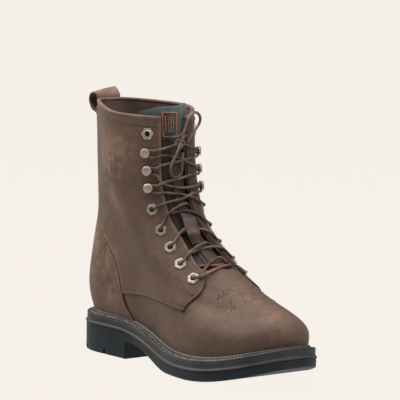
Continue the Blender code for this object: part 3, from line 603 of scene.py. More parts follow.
def leather(name, dark, light, pale_tone, roughness):
    """Oiled leather: clouds and mottle between two browns, paler by wear and painted light, darker at cut
    edges and by oil and painted shade.
    """
    material, tree, shader = new_material(name)
    mottle = noise(tree, MOTTLE, 4.0)
    cloudy = spread_out(tree, between(tree, MOTTLE_SHARE, noise(tree, CLOUD, 3.0), mottle), 0.36, 0.64)
    brown = blend(tree, cloudy, dark, light)
    paled = blend(tree, product(tree, noted(tree, "rub"), cloudy), brown, pale_tone)
    tree.links.new(blend(tree, noted(tree, "cut"), paled, CUT_EDGE), shader.inputs["Base Color"])
    grain = texture(tree, "Voronoi", GRAIN, "Distance")
    relief(tree, shader, between(tree, 0.5, grain, mottle), 0.35, 0.6)
    set_values(shader, Roughness=roughness, Specular_IOR_Level=0.28)
    return material


# Each leather: its dark and light tones, its pale tone for wear and painted light, and its roughness
UPPER_LEATHER = leather("Oiled brown cowhide", "#4e3d34", "#604c41", "#8a7162", 0.62)
LINING_LEATHER = leather("Dark lining leather", "#463834", "#5f4c46", "#6b5750", 0.75)
TONGUE_LEATHER = leather("Dark brown tongue leather", "#241c1a", "#382c28", "#6b544a", 0.6)
COLLAR_LEATHER = leather("Folded collar leather", "#574740", "#6e5b53", "#86736a", 0.6)
print("leathers ready")

# %% [markdown]
# ## Slack and wear
# An empty boot is never quite taut: the leather swells and sinks by half a millimetre or so, and it wears
# pale where it was knocked or bent. Broad pale spots also paint light where it falls on the leather. Both
# could be random, but as listed here they follow the photograph where it shows them, and are guessed
# elsewhere. Each is a row in a table, with a place on the last, a reach and a strength.

# %% Dents, scuffs and painted light
# Soft hollows and swells of the slack leather: share, girth, reach in share, reach in girth, height
Dent = namedtuple("Dent", "share girth tall wide height")
DENTS = (
    Dent(0.24, 0.23, 0.06, 0.10, -0.8),
    Dent(0.16, 0.30, 0.05, 0.09, 0.5),
    Dent(0.28, 0.08, 0.05, 0.07, 0.5),
    Dent(0.20, 1.78, 0.06, 0.10, -0.7),
    Dent(0.09, 0.16, 0.04, 0.06, -0.5),
    Dent(0.62, 0.55, 0.10, 0.10, -0.9),
    Dent(0.80, 0.50, 0.12, 0.12, 0.6),
    Dent(0.52, 0.70, 0.08, 0.10, 0.6),
    Dent(0.60, 1.50, 0.10, 0.12, -0.8),
    Dent(0.86, 0.74, 0.08, 0.10, -0.6),
    Dent(0.47, 0.45, 0.05, 0.10, -0.6),
)


def slack(share, girth):
    """Height of the leather's soft dents."""
    height = np.zeros(np.broadcast(share, girth).shape)
    for dent in DENTS:
        reach = ((share - dent.share) / dent.tall) ** 2 + ((girth - dent.girth) / dent.wide) ** 2
        height += dent.height * np.exp(-reach)
    return height


# Spots where the leather is painted pale, small ones as scuffs and broad ones as painted light: share, girth,
# reach in mm and strength
Scuff = namedtuple("Scuff", "share girth reach strength")
PALE_SPOTS = (
    Scuff(0.200, 0.754, 4.0, 1.0),
    Scuff(0.144, 0.778, 3.0, 0.9),
    Scuff(0.172, 0.768, 2.0, 0.6),
    Scuff(0.081, 0.227, 2.5, 1.0),
    # Spots with a reach of 10 mm or more are painted light on lit parts: the vamp's top, the shaft and the
    # counter
    Scuff(0.115, 0.030, 14.0, 0.5),
    Scuff(0.255, 0.040, 16.0, 0.4),
    Scuff(0.060, 0.880, 6.0, 0.5),
    Scuff(0.470, 0.760, 9.0, 0.4),
    Scuff(0.800, 0.520, 20.0, 1.0),
    Scuff(0.860, 0.400, 15.0, 0.8),
    Scuff(0.085, 0.750, 13.0, 0.7),
    Scuff(0.660, 0.600, 16.0, 0.5),
    Scuff(0.220, 0.800, 26.0, 0.8),
    Scuff(0.300, 0.870, 14.0, 0.5),
)


def paleness(points):
    """How pale the leather is painted at points, by scuffs and by painted light."""
    paled = np.zeros(points.shape[:-1])
    for spot in PALE_SPOTS:
        away = np.linalg.norm(points - last_point(spot.share, spot.girth), axis=-1)
        paled += spot.strength * band(away, 0.0, spot.reach)
    return np.minimum(paled, 1.0)


print(len(DENTS), "dents and", len(PALE_SPOTS), "scuffs")

# %% [markdown]
# ## The upper's skin
# The whole upper is one skin over the last, open at the collar, along the throat and underneath. It could
# be sculpted, but a fine grid in the last's own coordinates is exact, and the panels sewn onto it use the
# same coordinates. The skin has its real thickness, and a lining inside.

# %% Build the skin
SKIN_ROWS_BELOW, SKIN_ROWS_ABOVE, SKIN_HALF_COLUMNS, SKIN_CROWDING = 46, 66, 96, 0.05
THROAT_FOOT = THROAT[0].share


def skin_girths(share):
    """Girths of one row of the skin, from the lateral throat edge round the back to the medial one."""
    even = np.linspace(0, 1, SKIN_HALF_COLUMNS + 1)
    even = even - SKIN_CROWDING * np.sin(2 * math.pi * even)
    edges = [abs(throat_girth(share, side)) if share > THROAT_FOOT else 0.0 for side in (1, -1)]
    lateral, medial = (edge + (1 - edge) * even for edge in edges)
    return np.concatenate([lateral, 2 - medial[-2::-1]])


def build_skin():
    """The hollow wall: an outer and an inner grid, joined at foot, collar and throat, lined inside."""
    above = THROAT_FOOT + (1 - THROAT_FOOT) * np.linspace(0, 1, SKIN_ROWS_ABOVE + 1) ** 1.5
    shares = np.concatenate([np.linspace(0, THROAT_FOOT, SKIN_ROWS_BELOW + 1), above[1:]])
    girths = np.array([skin_girths(share) for share in shares])
    shares = np.broadcast_to(shares[:, None], girths.shape)
    outer = off_last(shares, girths, slack(shares, girths))
    inner = off_last(shares, girths, -WALL)
    rows, columns = girths.shape
    size = rows * columns
    numbers = np.arange(size).reshape(rows, columns)
    faces = quads(rows, columns) + quads(rows, columns, size)
    for chain in (numbers[0], numbers[-1], numbers[SKIN_ROWS_BELOW:, 0], numbers[SKIN_ROWS_BELOW:, -1]):
        faces += bridge(chain, chain + size)
    points = np.concatenate([outer.reshape(-1, 3), inner.reshape(-1, 3)])
    piece = add_piece("upper_skin", points, faces, UPPER_LEATHER, {"rub": paleness(points)}, sharp=50)
    piece.data.materials.append(LINING_LEATHER)
    kinds = np.zeros(len(piece.data.polygons), int)
    cells = (rows - 1) * (columns - 1)
    kinds[cells : 2 * cells] = 1
    piece.data.polygons.foreach_set("material_index", kinds)
    return piece


dress(build_skin(), "upper_leather", "upper")

# %% [markdown]
# ## Quarters and counter
# Three panels are sewn over the skin: a quarter on each side, which carries the eyelets, and the counter
# round the heel. Each panel is a patch between four edge lines drawn on the last. Its face rises from the
# skin with a rounded cut edge, and the points crowd towards the edges so that the curve of the cut shows.

# %% Panel helpers
PANEL_LOW, PANEL_HIGH, CUT_RADIUS, COLLAR_TAPER = 0.05, 1.8, 1.1, 1.1
PANEL_STEP, TAPER_SHARES = 2.0, (0.93, 1.0)
# The furrow that the stitches lie in: depth, distance from the edge and width
FURROW, FURROW_INSET, FURROW_WIDTH = 0.22, 2.6, 0.6
# Edge wear: width of the dark cut, then place, width and strength of the pale line beside it
CUT_WIDTH, WORN_INSET, WORN_WIDTH, WORN_PALE = 0.8, 1.9, 0.8, 0.5
# The facing's edge: width of its bare rim, where that begins, and width of its front darkened by oil and
# painted shade
BARE_WIDTH, BARE_FROM, FACING_WIDTH = 1.0, (0.43, 0.47), 16.0
EDGE_STEPS = np.array([0.0, 0.12, 0.3, 0.55, 0.85, 1.25, 1.8, 2.6, 3.6, 5.0, 6.8])


def smooth_line(rows, count=120):
    """Surface coordinates of a smooth line through a few (share, girth) rows."""
    rows = np.asarray(rows, float)
    run = run_length(last_point(rows[:, 0], rows[:, 1]))
    return spline(run, rows, np.linspace(0, run[-1], count))


def along(line, at):
    """Surface coordinates at shares of a line's length."""
    run = run_length(last_point(line[:, 0], line[:, 1]))
    return np.column_stack([np.interp(at * run[-1], run, line[:, k]) for k in (0, 1)])


def line_length(line):
    """Length of a line on the last."""
    return run_length(last_point(line[:, 0], line[:, 1]))[-1]


def crowded(length, step):
    """Places from 0 to 1 along a length, close together at both ends."""
    even = np.linspace(EDGE_STEPS[-1], length - EDGE_STEPS[-1], int(length / step))[1:-1]
    return np.concatenate([EDGE_STEPS, even, length - EDGE_STEPS[::-1]]) / length


def patch(low, high, left, right, step):
    """Grid of surface coordinates between four lines: low and high run from left to right."""
    u = crowded((line_length(low) + line_length(high)) / 2, step)
    v = crowded((line_length(left) + line_length(right)) / 2, step)
    rows = along(low, u)[None], along(high, u)[None]
    columns = along(left, v)[:, None], along(right, v)[:, None]
    u, v = u[None, :, None], v[:, None, None]
    corners = (1 - v) * ((1 - u) * low[0] + u * low[-1]) + v * ((1 - u) * high[0] + u * high[-1])
    return (1 - v) * rows[0] + v * rows[1] + (1 - u) * columns[0] + u * columns[1] - corners


def edge_distance(points, lines):
    """How far each point lies from the nearest of some lines on the last."""
    rim = np.concatenate([last_point(*along(line, np.linspace(0, 1, 400)).T) for line in lines])
    tree = kdtree.KDTree(len(rim))
    for number, place in enumerate(rim):
        tree.insert(Vector(place), number)
    tree.balance()
    found = [tree.find(Vector(point))[2] for point in points.reshape(-1, 3)]
    return np.array(found).reshape(points.shape[:-1])


def build_panel(name, low, high, left, right, lift=None, pale_front=0.0, dark_front=0.0):
    """A panel of leather between four lines. Its front may be lifted, pale with wear, and darkened by oil and
    painted shade.
    """
    grid = patch(low, high, left, right, PANEL_STEP)
    share, girth = grid[..., 0], grid[..., 1]
    bare_last = last_point(share, girth)
    inset = edge_distance(bare_last, (low, high, left, right))
    from_front = edge_distance(bare_last, (right,))
    cut = np.sqrt(1 - (1 - np.clip(inset / CUT_RADIUS, 0, 1)) ** 2)
    dents = slack(share, girth)
    extra = (lift(share, girth) if lift else 0.0) - COLLAR_TAPER * ease(share, *TAPER_SHARES)
    furrow = FURROW * band(inset, FURROW_INSET, FURROW_WIDTH)
    outer = off_last(share, girth, PANEL_LOW + (PANEL_HIGH - PANEL_LOW) * cut + dents - furrow + extra)
    inner = off_last(share, girth, PANEL_LOW + np.minimum(dents + extra, 0.0))
    pale = WORN_PALE * band(inset, WORN_INSET, WORN_WIDTH) + paleness(outer)
    bare = pale_front * band(from_front, 0.0, BARE_WIDTH) * ease(share, *BARE_FROM)
    # The facing's front is darkened by oil and by painted shade
    oil_and_shade = dark_front * band(from_front, 0.0, FACING_WIDTH)
    dark = np.maximum(band(inset, 0.0, CUT_WIDTH) * (1 - bare), oil_and_shade)
    values = {"cut": dark, "rub": np.minimum(pale + bare, 1.0)}
    values = {key: np.tile(value.ravel(), 2) for key, value in values.items()}
    return add_piece(name, *slab(outer, inner), UPPER_LEATHER, values)


print("a panel's edge is sampled in", len(EDGE_STEPS), "steps")

# %% Build the panels
COUNTER_LINE = smooth_line((
    (0.382, 1.0), (0.3865, 0.9322), (0.387, 0.8224), (0.3496, 0.7761), (0.3039, 0.7373), (0.2335, 0.714),
    (0.1621, 0.7065), (0.0989, 0.6984), (0.0569, 0.6879), (0.0277, 0.6708), (0.0, 0.655),
))
# Where the counter's top line turns down into its side
COUNTER_TURN = 40
QUARTER_FOOT = smooth_line((
    (0.0927, 0.6961), (0.1218, 0.5924), (0.1426, 0.494), (0.1511, 0.4189), (0.1525, 0.3537),
))
QUARTER_TIP = smooth_line((
    (0.1525, 0.3537), (0.282, 0.2682), (0.3748, 0.1841), (0.410, 0.142), (0.448, throat_girth(0.448)),
))
# The medial quarter's tip ends some points sooner, because its facing lies nearer to the front
FACING_FROM, MEDIAL_TIP_END, BACK_SEAM_FROM = 0.46, 12, 0.385
# The slack lower front of the medial quarter: height, where it begins and ends, and how far round it reaches
LIFT, LIFT_FROM, LIFT_TO, LIFT_ROUND = 1.8, (0.12, 0.28), (0.33, 0.39), (0.28, 0.42)


def mirrored(line):
    """The same line on the other side of the boot."""
    return np.column_stack([line[:, 0], 2 - line[:, 1]])


def quarter_lines(side):
    """The quarter's lower, upper, back and front lines for a side, drawn on the lateral side."""
    shares = np.linspace(FACING_FROM, 1.0, 80)
    facing = np.array([(share, abs(throat_girth(share, side))) for share in shares])
    tip = QUARTER_TIP[: -1 if side > 0 else -MEDIAL_TIP_END]
    front = np.concatenate([tip, facing])
    collar = np.column_stack([np.ones(80), np.linspace(1.0, facing[-1, 1], 80)])
    seam = COUNTER_LINE[COUNTER_LINE[:, 0] > QUARTER_FOOT[0, 0]][::-1]
    back_seam = np.column_stack([np.linspace(BACK_SEAM_FROM, 1, 60), np.ones(60)])
    back = np.concatenate([QUARTER_FOOT[:1], seam, back_seam])
    return QUARTER_FOOT, collar, back, front


def counter_lines():
    """The counter's foot and top halves, from the lateral seam to the medial one."""
    foot = np.column_stack([np.zeros(80), np.linspace(COUNTER_LINE[-1, 1], 2 - COUNTER_LINE[-1, 1], 80)])
    side = COUNTER_LINE[COUNTER_TURN:][::-1]
    top = np.concatenate([COUNTER_LINE[COUNTER_TURN::-1], mirrored(COUNTER_LINE)[1 : COUNTER_TURN + 1]])
    return foot, top, side, mirrored(side)


def medial_lift(share, girth):
    """The slack lower front of the medial quarter stands off the vamp."""
    upward = ease(share, *LIFT_FROM) * (1 - ease(share, *LIFT_TO))
    return LIFT * upward * (1 - ease(2 - girth, *LIFT_ROUND))


quarter = quarter_lines(1)
# The lateral facing's front is darkened by oil and painted shade, the medial one mostly by painted shade
lateral_panel = build_panel("quarter_lateral_panel", *quarter, pale_front=0.8, dark_front=0.25)
dress(lateral_panel, "upper_leather", "quarter_lateral")
medial_lines = [mirrored(line) for line in quarter_lines(-1)]
medial_panel = build_panel("quarter_medial_panel", *medial_lines, lift=medial_lift, dark_front=0.85)
dress(medial_panel, "upper_leather", "quarter_medial")
dress(build_panel("counter_panel", *counter_lines()), "upper_leather", "counter")

# %% [markdown]
# ## Rubber and welt
# The sole is moulded rubber in two colours, with a welt strip on top that the upper is stitched to. Rubber
# from a mould is satin and very even, with a fine sandblasted tooth. A pale grey is painted on the midsole's
# ridge and the welt's bead as a painted highlight. The welt carries a raised bead beside the upper and a
# channel for the stitches.

# %% Rubber materials
# The last colour is a pale grey, painted as a highlight on the midsole's ridge and the welt's bead
RUBBER_CLOUD, TOOTH, RIDGE_HIGHLIGHT = 24.0, 1.1, "#6e6a66"


def rubber(name, dark, light, roughness):
    """Moulded rubber: two near tones in clouds, a pale painted highlight where its points note one, and a
    fine tooth.
    """
    material, tree, shader = new_material(name)
    tone = blend(tree, spread_out(tree, noise(tree, RUBBER_CLOUD, 3.0), 0.35, 0.65), dark, light)
    tree.links.new(blend(tree, noted(tree, "rub"), tone, RIDGE_HIGHLIGHT), shader.inputs["Base Color"])
    relief(tree, shader, noise(tree, TOOTH, 2.0), 0.2, 0.3)
    set_values(shader, Roughness=roughness, Specular_IOR_Level=0.2)
    return material


OUTSOLE_RUBBER = rubber("Blue-black moulded rubber", "#131c22", "#1b262d", 0.55)
MIDSOLE_RUBBER = rubber("Grey moulded rubber", "#282a2c", "#35373a", 0.5)
WELT_RUBBER = rubber("Grey welt strip", "#23292e", "#343b41", 0.42)
print("rubbers ready")

# %% [markdown]
# ## The outsole
# The outsole is one moulding: a heel block, a raised arch and a forefoot that curls up to the toe, cut
# across by tread grooves. Grooves could be carved with booleans, which are slow and fragile at thin edges.
# Here the sole is a row of cross sections from toe to back, with close pairs of sections at both edges of
# every groove.

# %% Build the outsole
MIDSOLE_THICK, SEAM_GAP, LIP, GROOVE_STEP = 8.4, 0.3, 0.5, 0.04
GROOVE_XS, GROOVE_WIDTH, GROOVE_DEPTH = (18.0, 52.0, 176.0, 200.0, 224.0, 248.0, 272.0), 3.6, 2.6
SOLE_STATIONS, STATION_CROWDING, STATION_GAP, ACROSS = 150, 0.035, 0.0015, 14
# Rows up the outsole's side: height over the tread, how far it is drawn in, and how far inside a groove
TREAD_SIDE = (
    (0.0, 1.7, 3.0), (0.3, 0.9, 2.8), (1.0, 0.3, 2.6), (2.4, 0.0, 2.4), (4.6, 0.0, 2.2), (5.2, 0.0, 0.0),
)


def arch_z(x):
    """Height of the outsole's underside in front of the heel."""
    return ARCH_Z * (1 - ease(x, ARCH_FLAT_X, ARCH_END_X)) + tread_z(x)


def outsole_foot(x):
    """Underside of the outsole: the heel's face on the floor, then the arch and the forefoot."""
    return np.where(x < BREAST_X + BREAST_RAKE / 2, 0.0, arch_z(x))


def groove_at(x):
    """1 inside a cross groove of the tread, 0 outside."""
    return (np.abs(np.asarray(x)[:, None] - np.array(GROOVE_XS)).min(axis=1) < GROOVE_WIDTH / 2).astype(float)


def sole_stations(xs):
    """Girths from the toe to the back on one side, with stations at given x."""
    even = np.linspace(0, 1, SOLE_STATIONS)
    girths = even - STATION_CROWDING * np.sin(2 * math.pi * even)
    fine = np.linspace(0, 1, 2001)
    plan_x = sole_outline(fine)[:, 0]
    extra = np.interp(-np.asarray(xs), -plan_x, fine)
    clear = np.abs(girths[:, None] - extra).min(axis=1) > STATION_GAP
    return np.sort(np.concatenate([girths[clear], extra]))


def build_outsole():
    """Cross sections from toe to back: up one side, down the other and back under the tread."""
    steps = [side * GROOVE_WIDTH / 2 + near for side in (-1, 1) for near in (-GROOVE_STEP, GROOVE_STEP)]
    edges = [x + step for x in GROOVE_XS for step in steps]
    stations = sole_stations(sorted(edges + [BREAST_X, BREAST_X + BREAST_RAKE]))
    xs = sole_outline(stations)[:, 0]
    groove = groove_at(xs)
    at_side = groove * (xs < BREAST_X)
    foot = outsole_foot(xs) + at_side * GROOVE_DEPTH
    top = deck_z(xs) - MIDSOLE_THICK - SEAM_GAP
    sides = []
    for girths in (stations, 2 - stations):
        rows = []
        for rise, drawn, cut in TREAD_SIDE:
            plan = sole_outline(girths, -np.where(at_side > 0, np.maximum(cut, drawn), drawn))
            rows.append(np.column_stack([plan, np.maximum(outsole_foot(xs) + rise, foot)]))
        rows.append(np.column_stack([sole_outline(girths, 0.0), top - LIP]))
        rows.append(np.column_stack([sole_outline(girths, -LIP), top]))
        sides.append(np.stack(rows, 1))
    share = np.linspace(0, 1, ACROSS)[1:-1, None]
    under = np.stack([a + (b - a) * share for a, b in zip(sides[1][:, 0], sides[0][:, 0])])
    under[..., 2] += ((groove - at_side) * GROOVE_DEPTH)[:, None]
    sections = np.concatenate([sides[0], sides[1][:, ::-1], under], axis=1)
    return add_piece("outsole_tread", *loft(sections), OUTSOLE_RUBBER, sharp=40)


dress(build_outsole(), "outsole_rubber", "outsole")

# %% [markdown]
# ## Midsole, welt and footbed
# The midsole band and the welt run round the boot with one profile each, so each is a short table of widths
# and heights that is carried along the sole's outline. A profile is easier to tune against a photograph
# than a finished mesh, since moving one row moves a bead or a channel everywhere. The footbed closes the
# boot inside.

# %% Build the midsole, welt and footbed
# Rows up the midsole's side: share of its height, how far it stands out, and its painted highlight
MIDSOLE_SIDE = (
    (0.0, 0.2, 0.0), (0.05, 0.6, 0.05), (0.14, 0.7, 0.12), (0.22, 0.5, 0.1), (0.30, -0.4, 0.0),
    (0.36, -0.7, 0.0), (0.6, -0.8, 0.0), (0.85, -0.7, 0.0), (0.95, -0.8, 0.05), (1.0, -1.3, 0.0),
)
# The welt's section: across from 0 at the upper to 1 at the sole's edge, height over the deck, and painted
# highlight
WELT_SIDE = (
    (0.0, 0.1, 0.0), (1.0, 0.1, 0.0), (1.02, 0.6, 0.0), (1.02, 1.2, 0.0), (0.98, 1.6, 0.05),
    (0.9, 1.8, 0.0), (0.78, 1.8, 0.0), (0.72, 1.6, 0.0), (0.66, 1.4, 0.0), (0.52, 1.5, 0.0),
    (0.46, 2.1, 0.0), (0.41, 3.1, 0.05), (0.34, 4.1, 0.15), (0.25, 4.8, 0.3), (0.14, 5.0, 0.25),
    (0.04, 4.5, 0.05), (-0.02, 3.2, 0.0),
)
# Rows up the footbed's side: height over the deck, and how far inside the upper's foot
FOOTBED_SIDE = ((0.3, -2.2), (2.6, -2.2), (3.3, -3.2))
WELT_FROM_UPPER, WELT_FROM_EDGE = 0.1, -0.9


def feather_outline(at, grow):
    """Plan of the upper's foot."""
    return sideways(lambda places: last_point(np.zeros_like(places), places)[:, :2], at, grow)


def build_midsole():
    """The band between outsole and welt."""
    stations = sole_stations([BREAST_X])
    deck = deck_z(sole_outline(stations)[:, 0])
    sides = []
    for girths in (stations, 2 - stations):
        rows = []
        for share, out, _ in MIDSOLE_SIDE:
            rows.append(np.column_stack([sole_outline(girths, out), deck - MIDSOLE_THICK * (1 - share)]))
        sides.append(np.stack(rows, 1))
    sections = np.concatenate([sides[0], sides[1][:, ::-1]], axis=1)
    # The third column paints a highlight on the midsole's protruding ridge
    painted_highlight = [row[2] for row in MIDSOLE_SIDE]
    values = np.tile(np.array(painted_highlight + painted_highlight[::-1]), len(stations))
    return add_piece("midsole_band", *loft(sections), MIDSOLE_RUBBER, {"rub": values}, sharp=60)


def welt_plan(girths, across):
    """Plan of a line along the welt, a share of the way from the upper to the sole's edge."""
    inner, outer = feather_outline(girths, WELT_FROM_UPPER), sole_outline(girths, WELT_FROM_EDGE)
    return inner + (outer - inner) * across


def build_welt():
    """The strip round the boot, closed like a ring."""
    even = sole_stations([BREAST_X])
    girths = np.concatenate([even, 2 - even[-2:0:-1]])
    rows = []
    for across, height, _ in WELT_SIDE:
        plan = welt_plan(girths, across)
        rows.append(np.column_stack([plan, deck_z(plan[:, 0]) + height]))
    grid = np.stack(rows + rows[:1])
    # The third column paints a highlight on the welt's bead
    values = np.repeat([row[2] for row in WELT_SIDE + WELT_SIDE[:1]], len(girths))
    faces = quads(len(grid), len(girths), closed=True)
    return add_piece("welt_strip", grid.reshape(-1, 3), faces, WELT_RUBBER, {"rub": values}, sharp=60)


def build_footbed():
    """The plate inside the boot that the foot stands on."""
    stations = sole_stations([BREAST_X])
    rows = []
    for girths in (stations, 2 - stations):
        for rise, grow in FOOTBED_SIDE:
            plan = feather_outline(girths, np.full(len(girths), grow))
            rows.append(np.column_stack([plan, deck_z(plan[:, 0]) + rise]))
    half = len(FOOTBED_SIDE)
    sections = np.stack(rows[:half] + rows[: half - 1 : -1], 1)
    return add_piece("footbed", *loft(sections), LINING_LEATHER, sharp=60)


dress(build_midsole(), "midsole_rubber", "midsole")
dress(build_welt(), "welt_strip", "welt")
dress(build_footbed(), "footbed_cloth", "insole")

# %% [markdown]
# ## The tongue
# The tongue is soft dark leather behind the lacing, with a gusset folded at each side and a cloth-faced top
# that stands above the collar. It could be cut flat and draped by a simulation. A grid that follows the
# last at a depth is steadier, and its folds are two smooth steps across it. It lies a little deeper than
# its solid, so that the lace has room under the facings.

# %% Build the tongue
TONGUE_DEPTH, TONGUE_THICK, TONGUE_FROM = -5.2, 2.2, 0.30
TONGUE_WIDTHS = ((0.30, 21.0), (0.45, 27.0), (0.60, 30.0), (0.80, 38.0), (1.00, 47.0))
TONGUE_ROWS, TONGUE_COLUMNS, TONGUE_FOOT_ROWS = 70, 61, 24
# The free top: rise over the collar at the middle, and how far it leans back
TONGUE_TOP = ((2.5, 0.3), (5.0, 0.8), (7.5, 1.6), (9.5, 2.4), (10.5, 3.0))
TOP_CROWN = 0.75
# The padded middle and the gusset: height, and between which distances from the middle they end or begin
PAD_RISE, PAD_EDGE = 1.1, (9.5, 11.5)
GUSSET_FALL, GUSSET_EDGE = 0.8, (14.0, 16.0)


def tongue_sheet(depth):
    """The tongue's grid at a depth, with folds along its gusset."""
    rows = []
    across = np.linspace(-1, 1, TONGUE_COLUMNS)
    for share in np.linspace(TONGUE_FROM, 1, TONGUE_ROWS):
        width = np.interp(share, *zip(*TONGUE_WIDTHS))
        girths = girth_from_front(share, across * width)
        aside = np.abs(across) * width
        fold = PAD_RISE * (1 - ease(aside, *PAD_EDGE)) - GUSSET_FALL * ease(aside, *GUSSET_EDGE)
        rows.append(off_last(np.full(TONGUE_COLUMNS, share), girths, depth + fold))
    crown = 1 - TOP_CROWN * across**2
    for rise, lean in TONGUE_TOP:
        rows.append(rows[TONGUE_ROWS - 1] + np.outer(crown, (-lean, 0, rise)))
    return np.array(rows)


def build_tongue():
    """The padded sheet behind the lacing, paler at its foot."""
    outer, inner = tongue_sheet(TONGUE_DEPTH), tongue_sheet(TONGUE_DEPTH - TONGUE_THICK)
    foot = 1 - np.clip(np.arange(len(outer)) / TONGUE_FOOT_ROWS, 0, 1)
    pale = np.tile(np.repeat(foot, TONGUE_COLUMNS), 2)
    return add_piece("tongue_pad", *slab(outer, inner), TONGUE_LEATHER, {"rub": pale}, sharp=70)


tongue = build_tongue()
dress(tongue, "tongue_leather", "tongue")

# %% [markdown]
# ## The lace keeper
# A short leather strap is sewn across the middle of the tongue, and one pair of strands runs behind it, so
# that the tongue can't slip aside. It is a small grid on the last that is lifted between its two sewn ends.

# %% Build the lace keeper
KEEPER_ROWS, KEEPER_COLUMNS = 31, 17
KEEPER_SHARES, KEEPER_ENDS = (0.553, 0.668), 0.03
KEEPER_MIDDLES, KEEPER_HALF_WIDTHS = (8.0, 0.5), (6.5, 8.5)
KEEPER_DEPTH, KEEPER_LIFT, KEEPER_THICK, KEEPER_RUB, KEEPER_CUT = -4.2, 5.6, 1.5, 0.5, 0.12


def build_keeper():
    """The strap over the tongue, lifted between its ends."""
    shares, across = np.linspace(*KEEPER_SHARES, KEEPER_ROWS), np.linspace(-1, 1, KEEPER_COLUMNS)
    foot, top = KEEPER_SHARES
    arch = ease(shares, foot, foot + KEEPER_ENDS) * (1 - ease(shares, top - KEEPER_ENDS, top))
    middles, halves = (np.linspace(*ends, KEEPER_ROWS) for ends in (KEEPER_MIDDLES, KEEPER_HALF_WIDTHS))
    girths = np.array([girth_from_front(s, m + across * h) for s, m, h in zip(shares, middles, halves)])
    depth = np.broadcast_to((KEEPER_DEPTH + KEEPER_LIFT * arch)[:, None], girths.shape)
    outer, inner = (off_last(shares[:, None], girths, depth + thick) for thick in (KEEPER_THICK, 0.0))
    edge = np.broadcast_to(band(1 - np.abs(across), 0.0, KEEPER_CUT), girths.shape).ravel()
    values = {"cut": np.tile(edge, 2), "rub": np.full(2 * edge.size, KEEPER_RUB)}
    return add_piece("lace_keeper", *slab(outer, inner), TONGUE_LEATHER, values, sharp=60)


dress(build_keeper(), "tongue_leather")

# %% [markdown]
# ## Cloth and label
# The tongue's top is faced with teal-grey cloth, and a woven label is sewn on it. The label here is a plain
# patch with a stitched border and bars, since a reusable part names no maker. The threads are crossed
# waves, drawn coarser than real ones, and the label is a thin slab cut from the tongue's own grid, so that
# it lies on it everywhere.

# %% Finish the tongue's top
CLOTH_FROM_ROW, CLOTH_CLOUD = 61, 9.0
LABEL_ROWS, LABEL_COLUMNS, LABEL_LIFTS = (62, 72), (29, 44), (0.9, 0.1)


def cloth(name, dark, light, thread_size):
    """Woven cloth: two near tones crossed by threads."""
    material, tree, shader = new_material(name)
    warp, weft = (texture(tree, "Wave", thread_size, "Fac", bands_direction=axis) for axis in "YZ")
    weave = product(tree, warp, weft)
    tone = blend(tree, between(tree, 0.5, weave, noise(tree, CLOTH_CLOUD, 3.0)), dark, light)
    tree.links.new(tone, shader.inputs["Base Color"])
    relief(tree, shader, weave, 0.4, 0.4)
    set_values(shader, Roughness=0.85, Sheen_Weight=0.2)
    return material


TONGUE_CLOTH = cloth("Teal-grey tongue cloth", "#2f383a", "#465053", 0.9)
LABEL_CLOTH = cloth("Charcoal woven label", "#20262b", "#343b40", 0.7)


def face_with_cloth():
    """Gives the tongue's upper rows the cloth, on its outer and its inner face."""
    tongue.data.materials.append(TONGUE_CLOTH)
    rows = TONGUE_ROWS + len(TONGUE_TOP) - 1
    row = np.arange(len(tongue.data.polygons)) // (TONGUE_COLUMNS - 1)
    row = np.where(row >= rows, row - rows, row)
    tongue.data.polygons.foreach_set("material_index", (row >= CLOTH_FROM_ROW).astype(int))


def build_label():
    """A plain woven label sewn on the tongue, left without any lettering."""
    rows, columns = slice(*LABEL_ROWS), slice(*LABEL_COLUMNS)
    outer, inner = (tongue_sheet(TONGUE_DEPTH + lift)[rows, columns] for lift in LABEL_LIFTS)
    return add_piece("tongue_label", *slab(outer, inner), LABEL_CLOTH, sharp=60)


face_with_cloth()
dress(build_label(), "tongue_leather")

# %% [markdown]
# ## The collar's fold
# The shaft's top edge is folded over and sewn down, which leaves a soft round rim. It is swept from a small
# profile along the collar. A bevel on the skin would be simpler, but its edge is too thin to hold such a
# fold.

# %% Build the collar's fold
# Profile of the fold: how far outside the last, and how far above the collar's edge
COLLAR_FOLD = (
    (0.85, -2.6), (1.1, -2.0), (1.2, -1.1), (1.0, -0.2), (0.5, 0.4), (-0.5, 0.6), (-1.4, 0.4), (-2.1, -0.2),
    (-2.3, -1.1), (-2.1, -2.6),
)
COLLAR_STATIONS = 180


def sweep(sections):
    """Points and faces of a body through closed sections, with each end drawn to a point."""
    first, last = (np.broadcast_to(sections[k].mean(axis=0), sections[k].shape)[None] for k in (0, -1))
    return loft(np.concatenate([first, sections, last]))


def build_collar():
    """The rolled rim, from one facing round the back to the other."""
    girths = np.linspace(throat_girth(1.0), 2 + throat_girth(1.0, -1), COLLAR_STATIONS)
    point, normal, up_run, _ = last_frame(np.ones(COLLAR_STATIONS), girths)
    rise = unit(up_run)
    sections = np.stack([point + normal * depth + rise * height for depth, height in COLLAR_FOLD], 1)
    return add_piece("collar_fold", *sweep(sections), COLLAR_LEATHER)


dress(build_collar(), "upper_leather")

# %% [markdown]
# ## The pull loop
# A strap is sewn to the back at both ends, to pull the boot on by. Its middle line is drawn in side view
# and swept across the width of the strap, bowed with the back of the shaft where it is sewn. A draped cloth
# could find the same form by itself, but the drawn line follows the photograph.

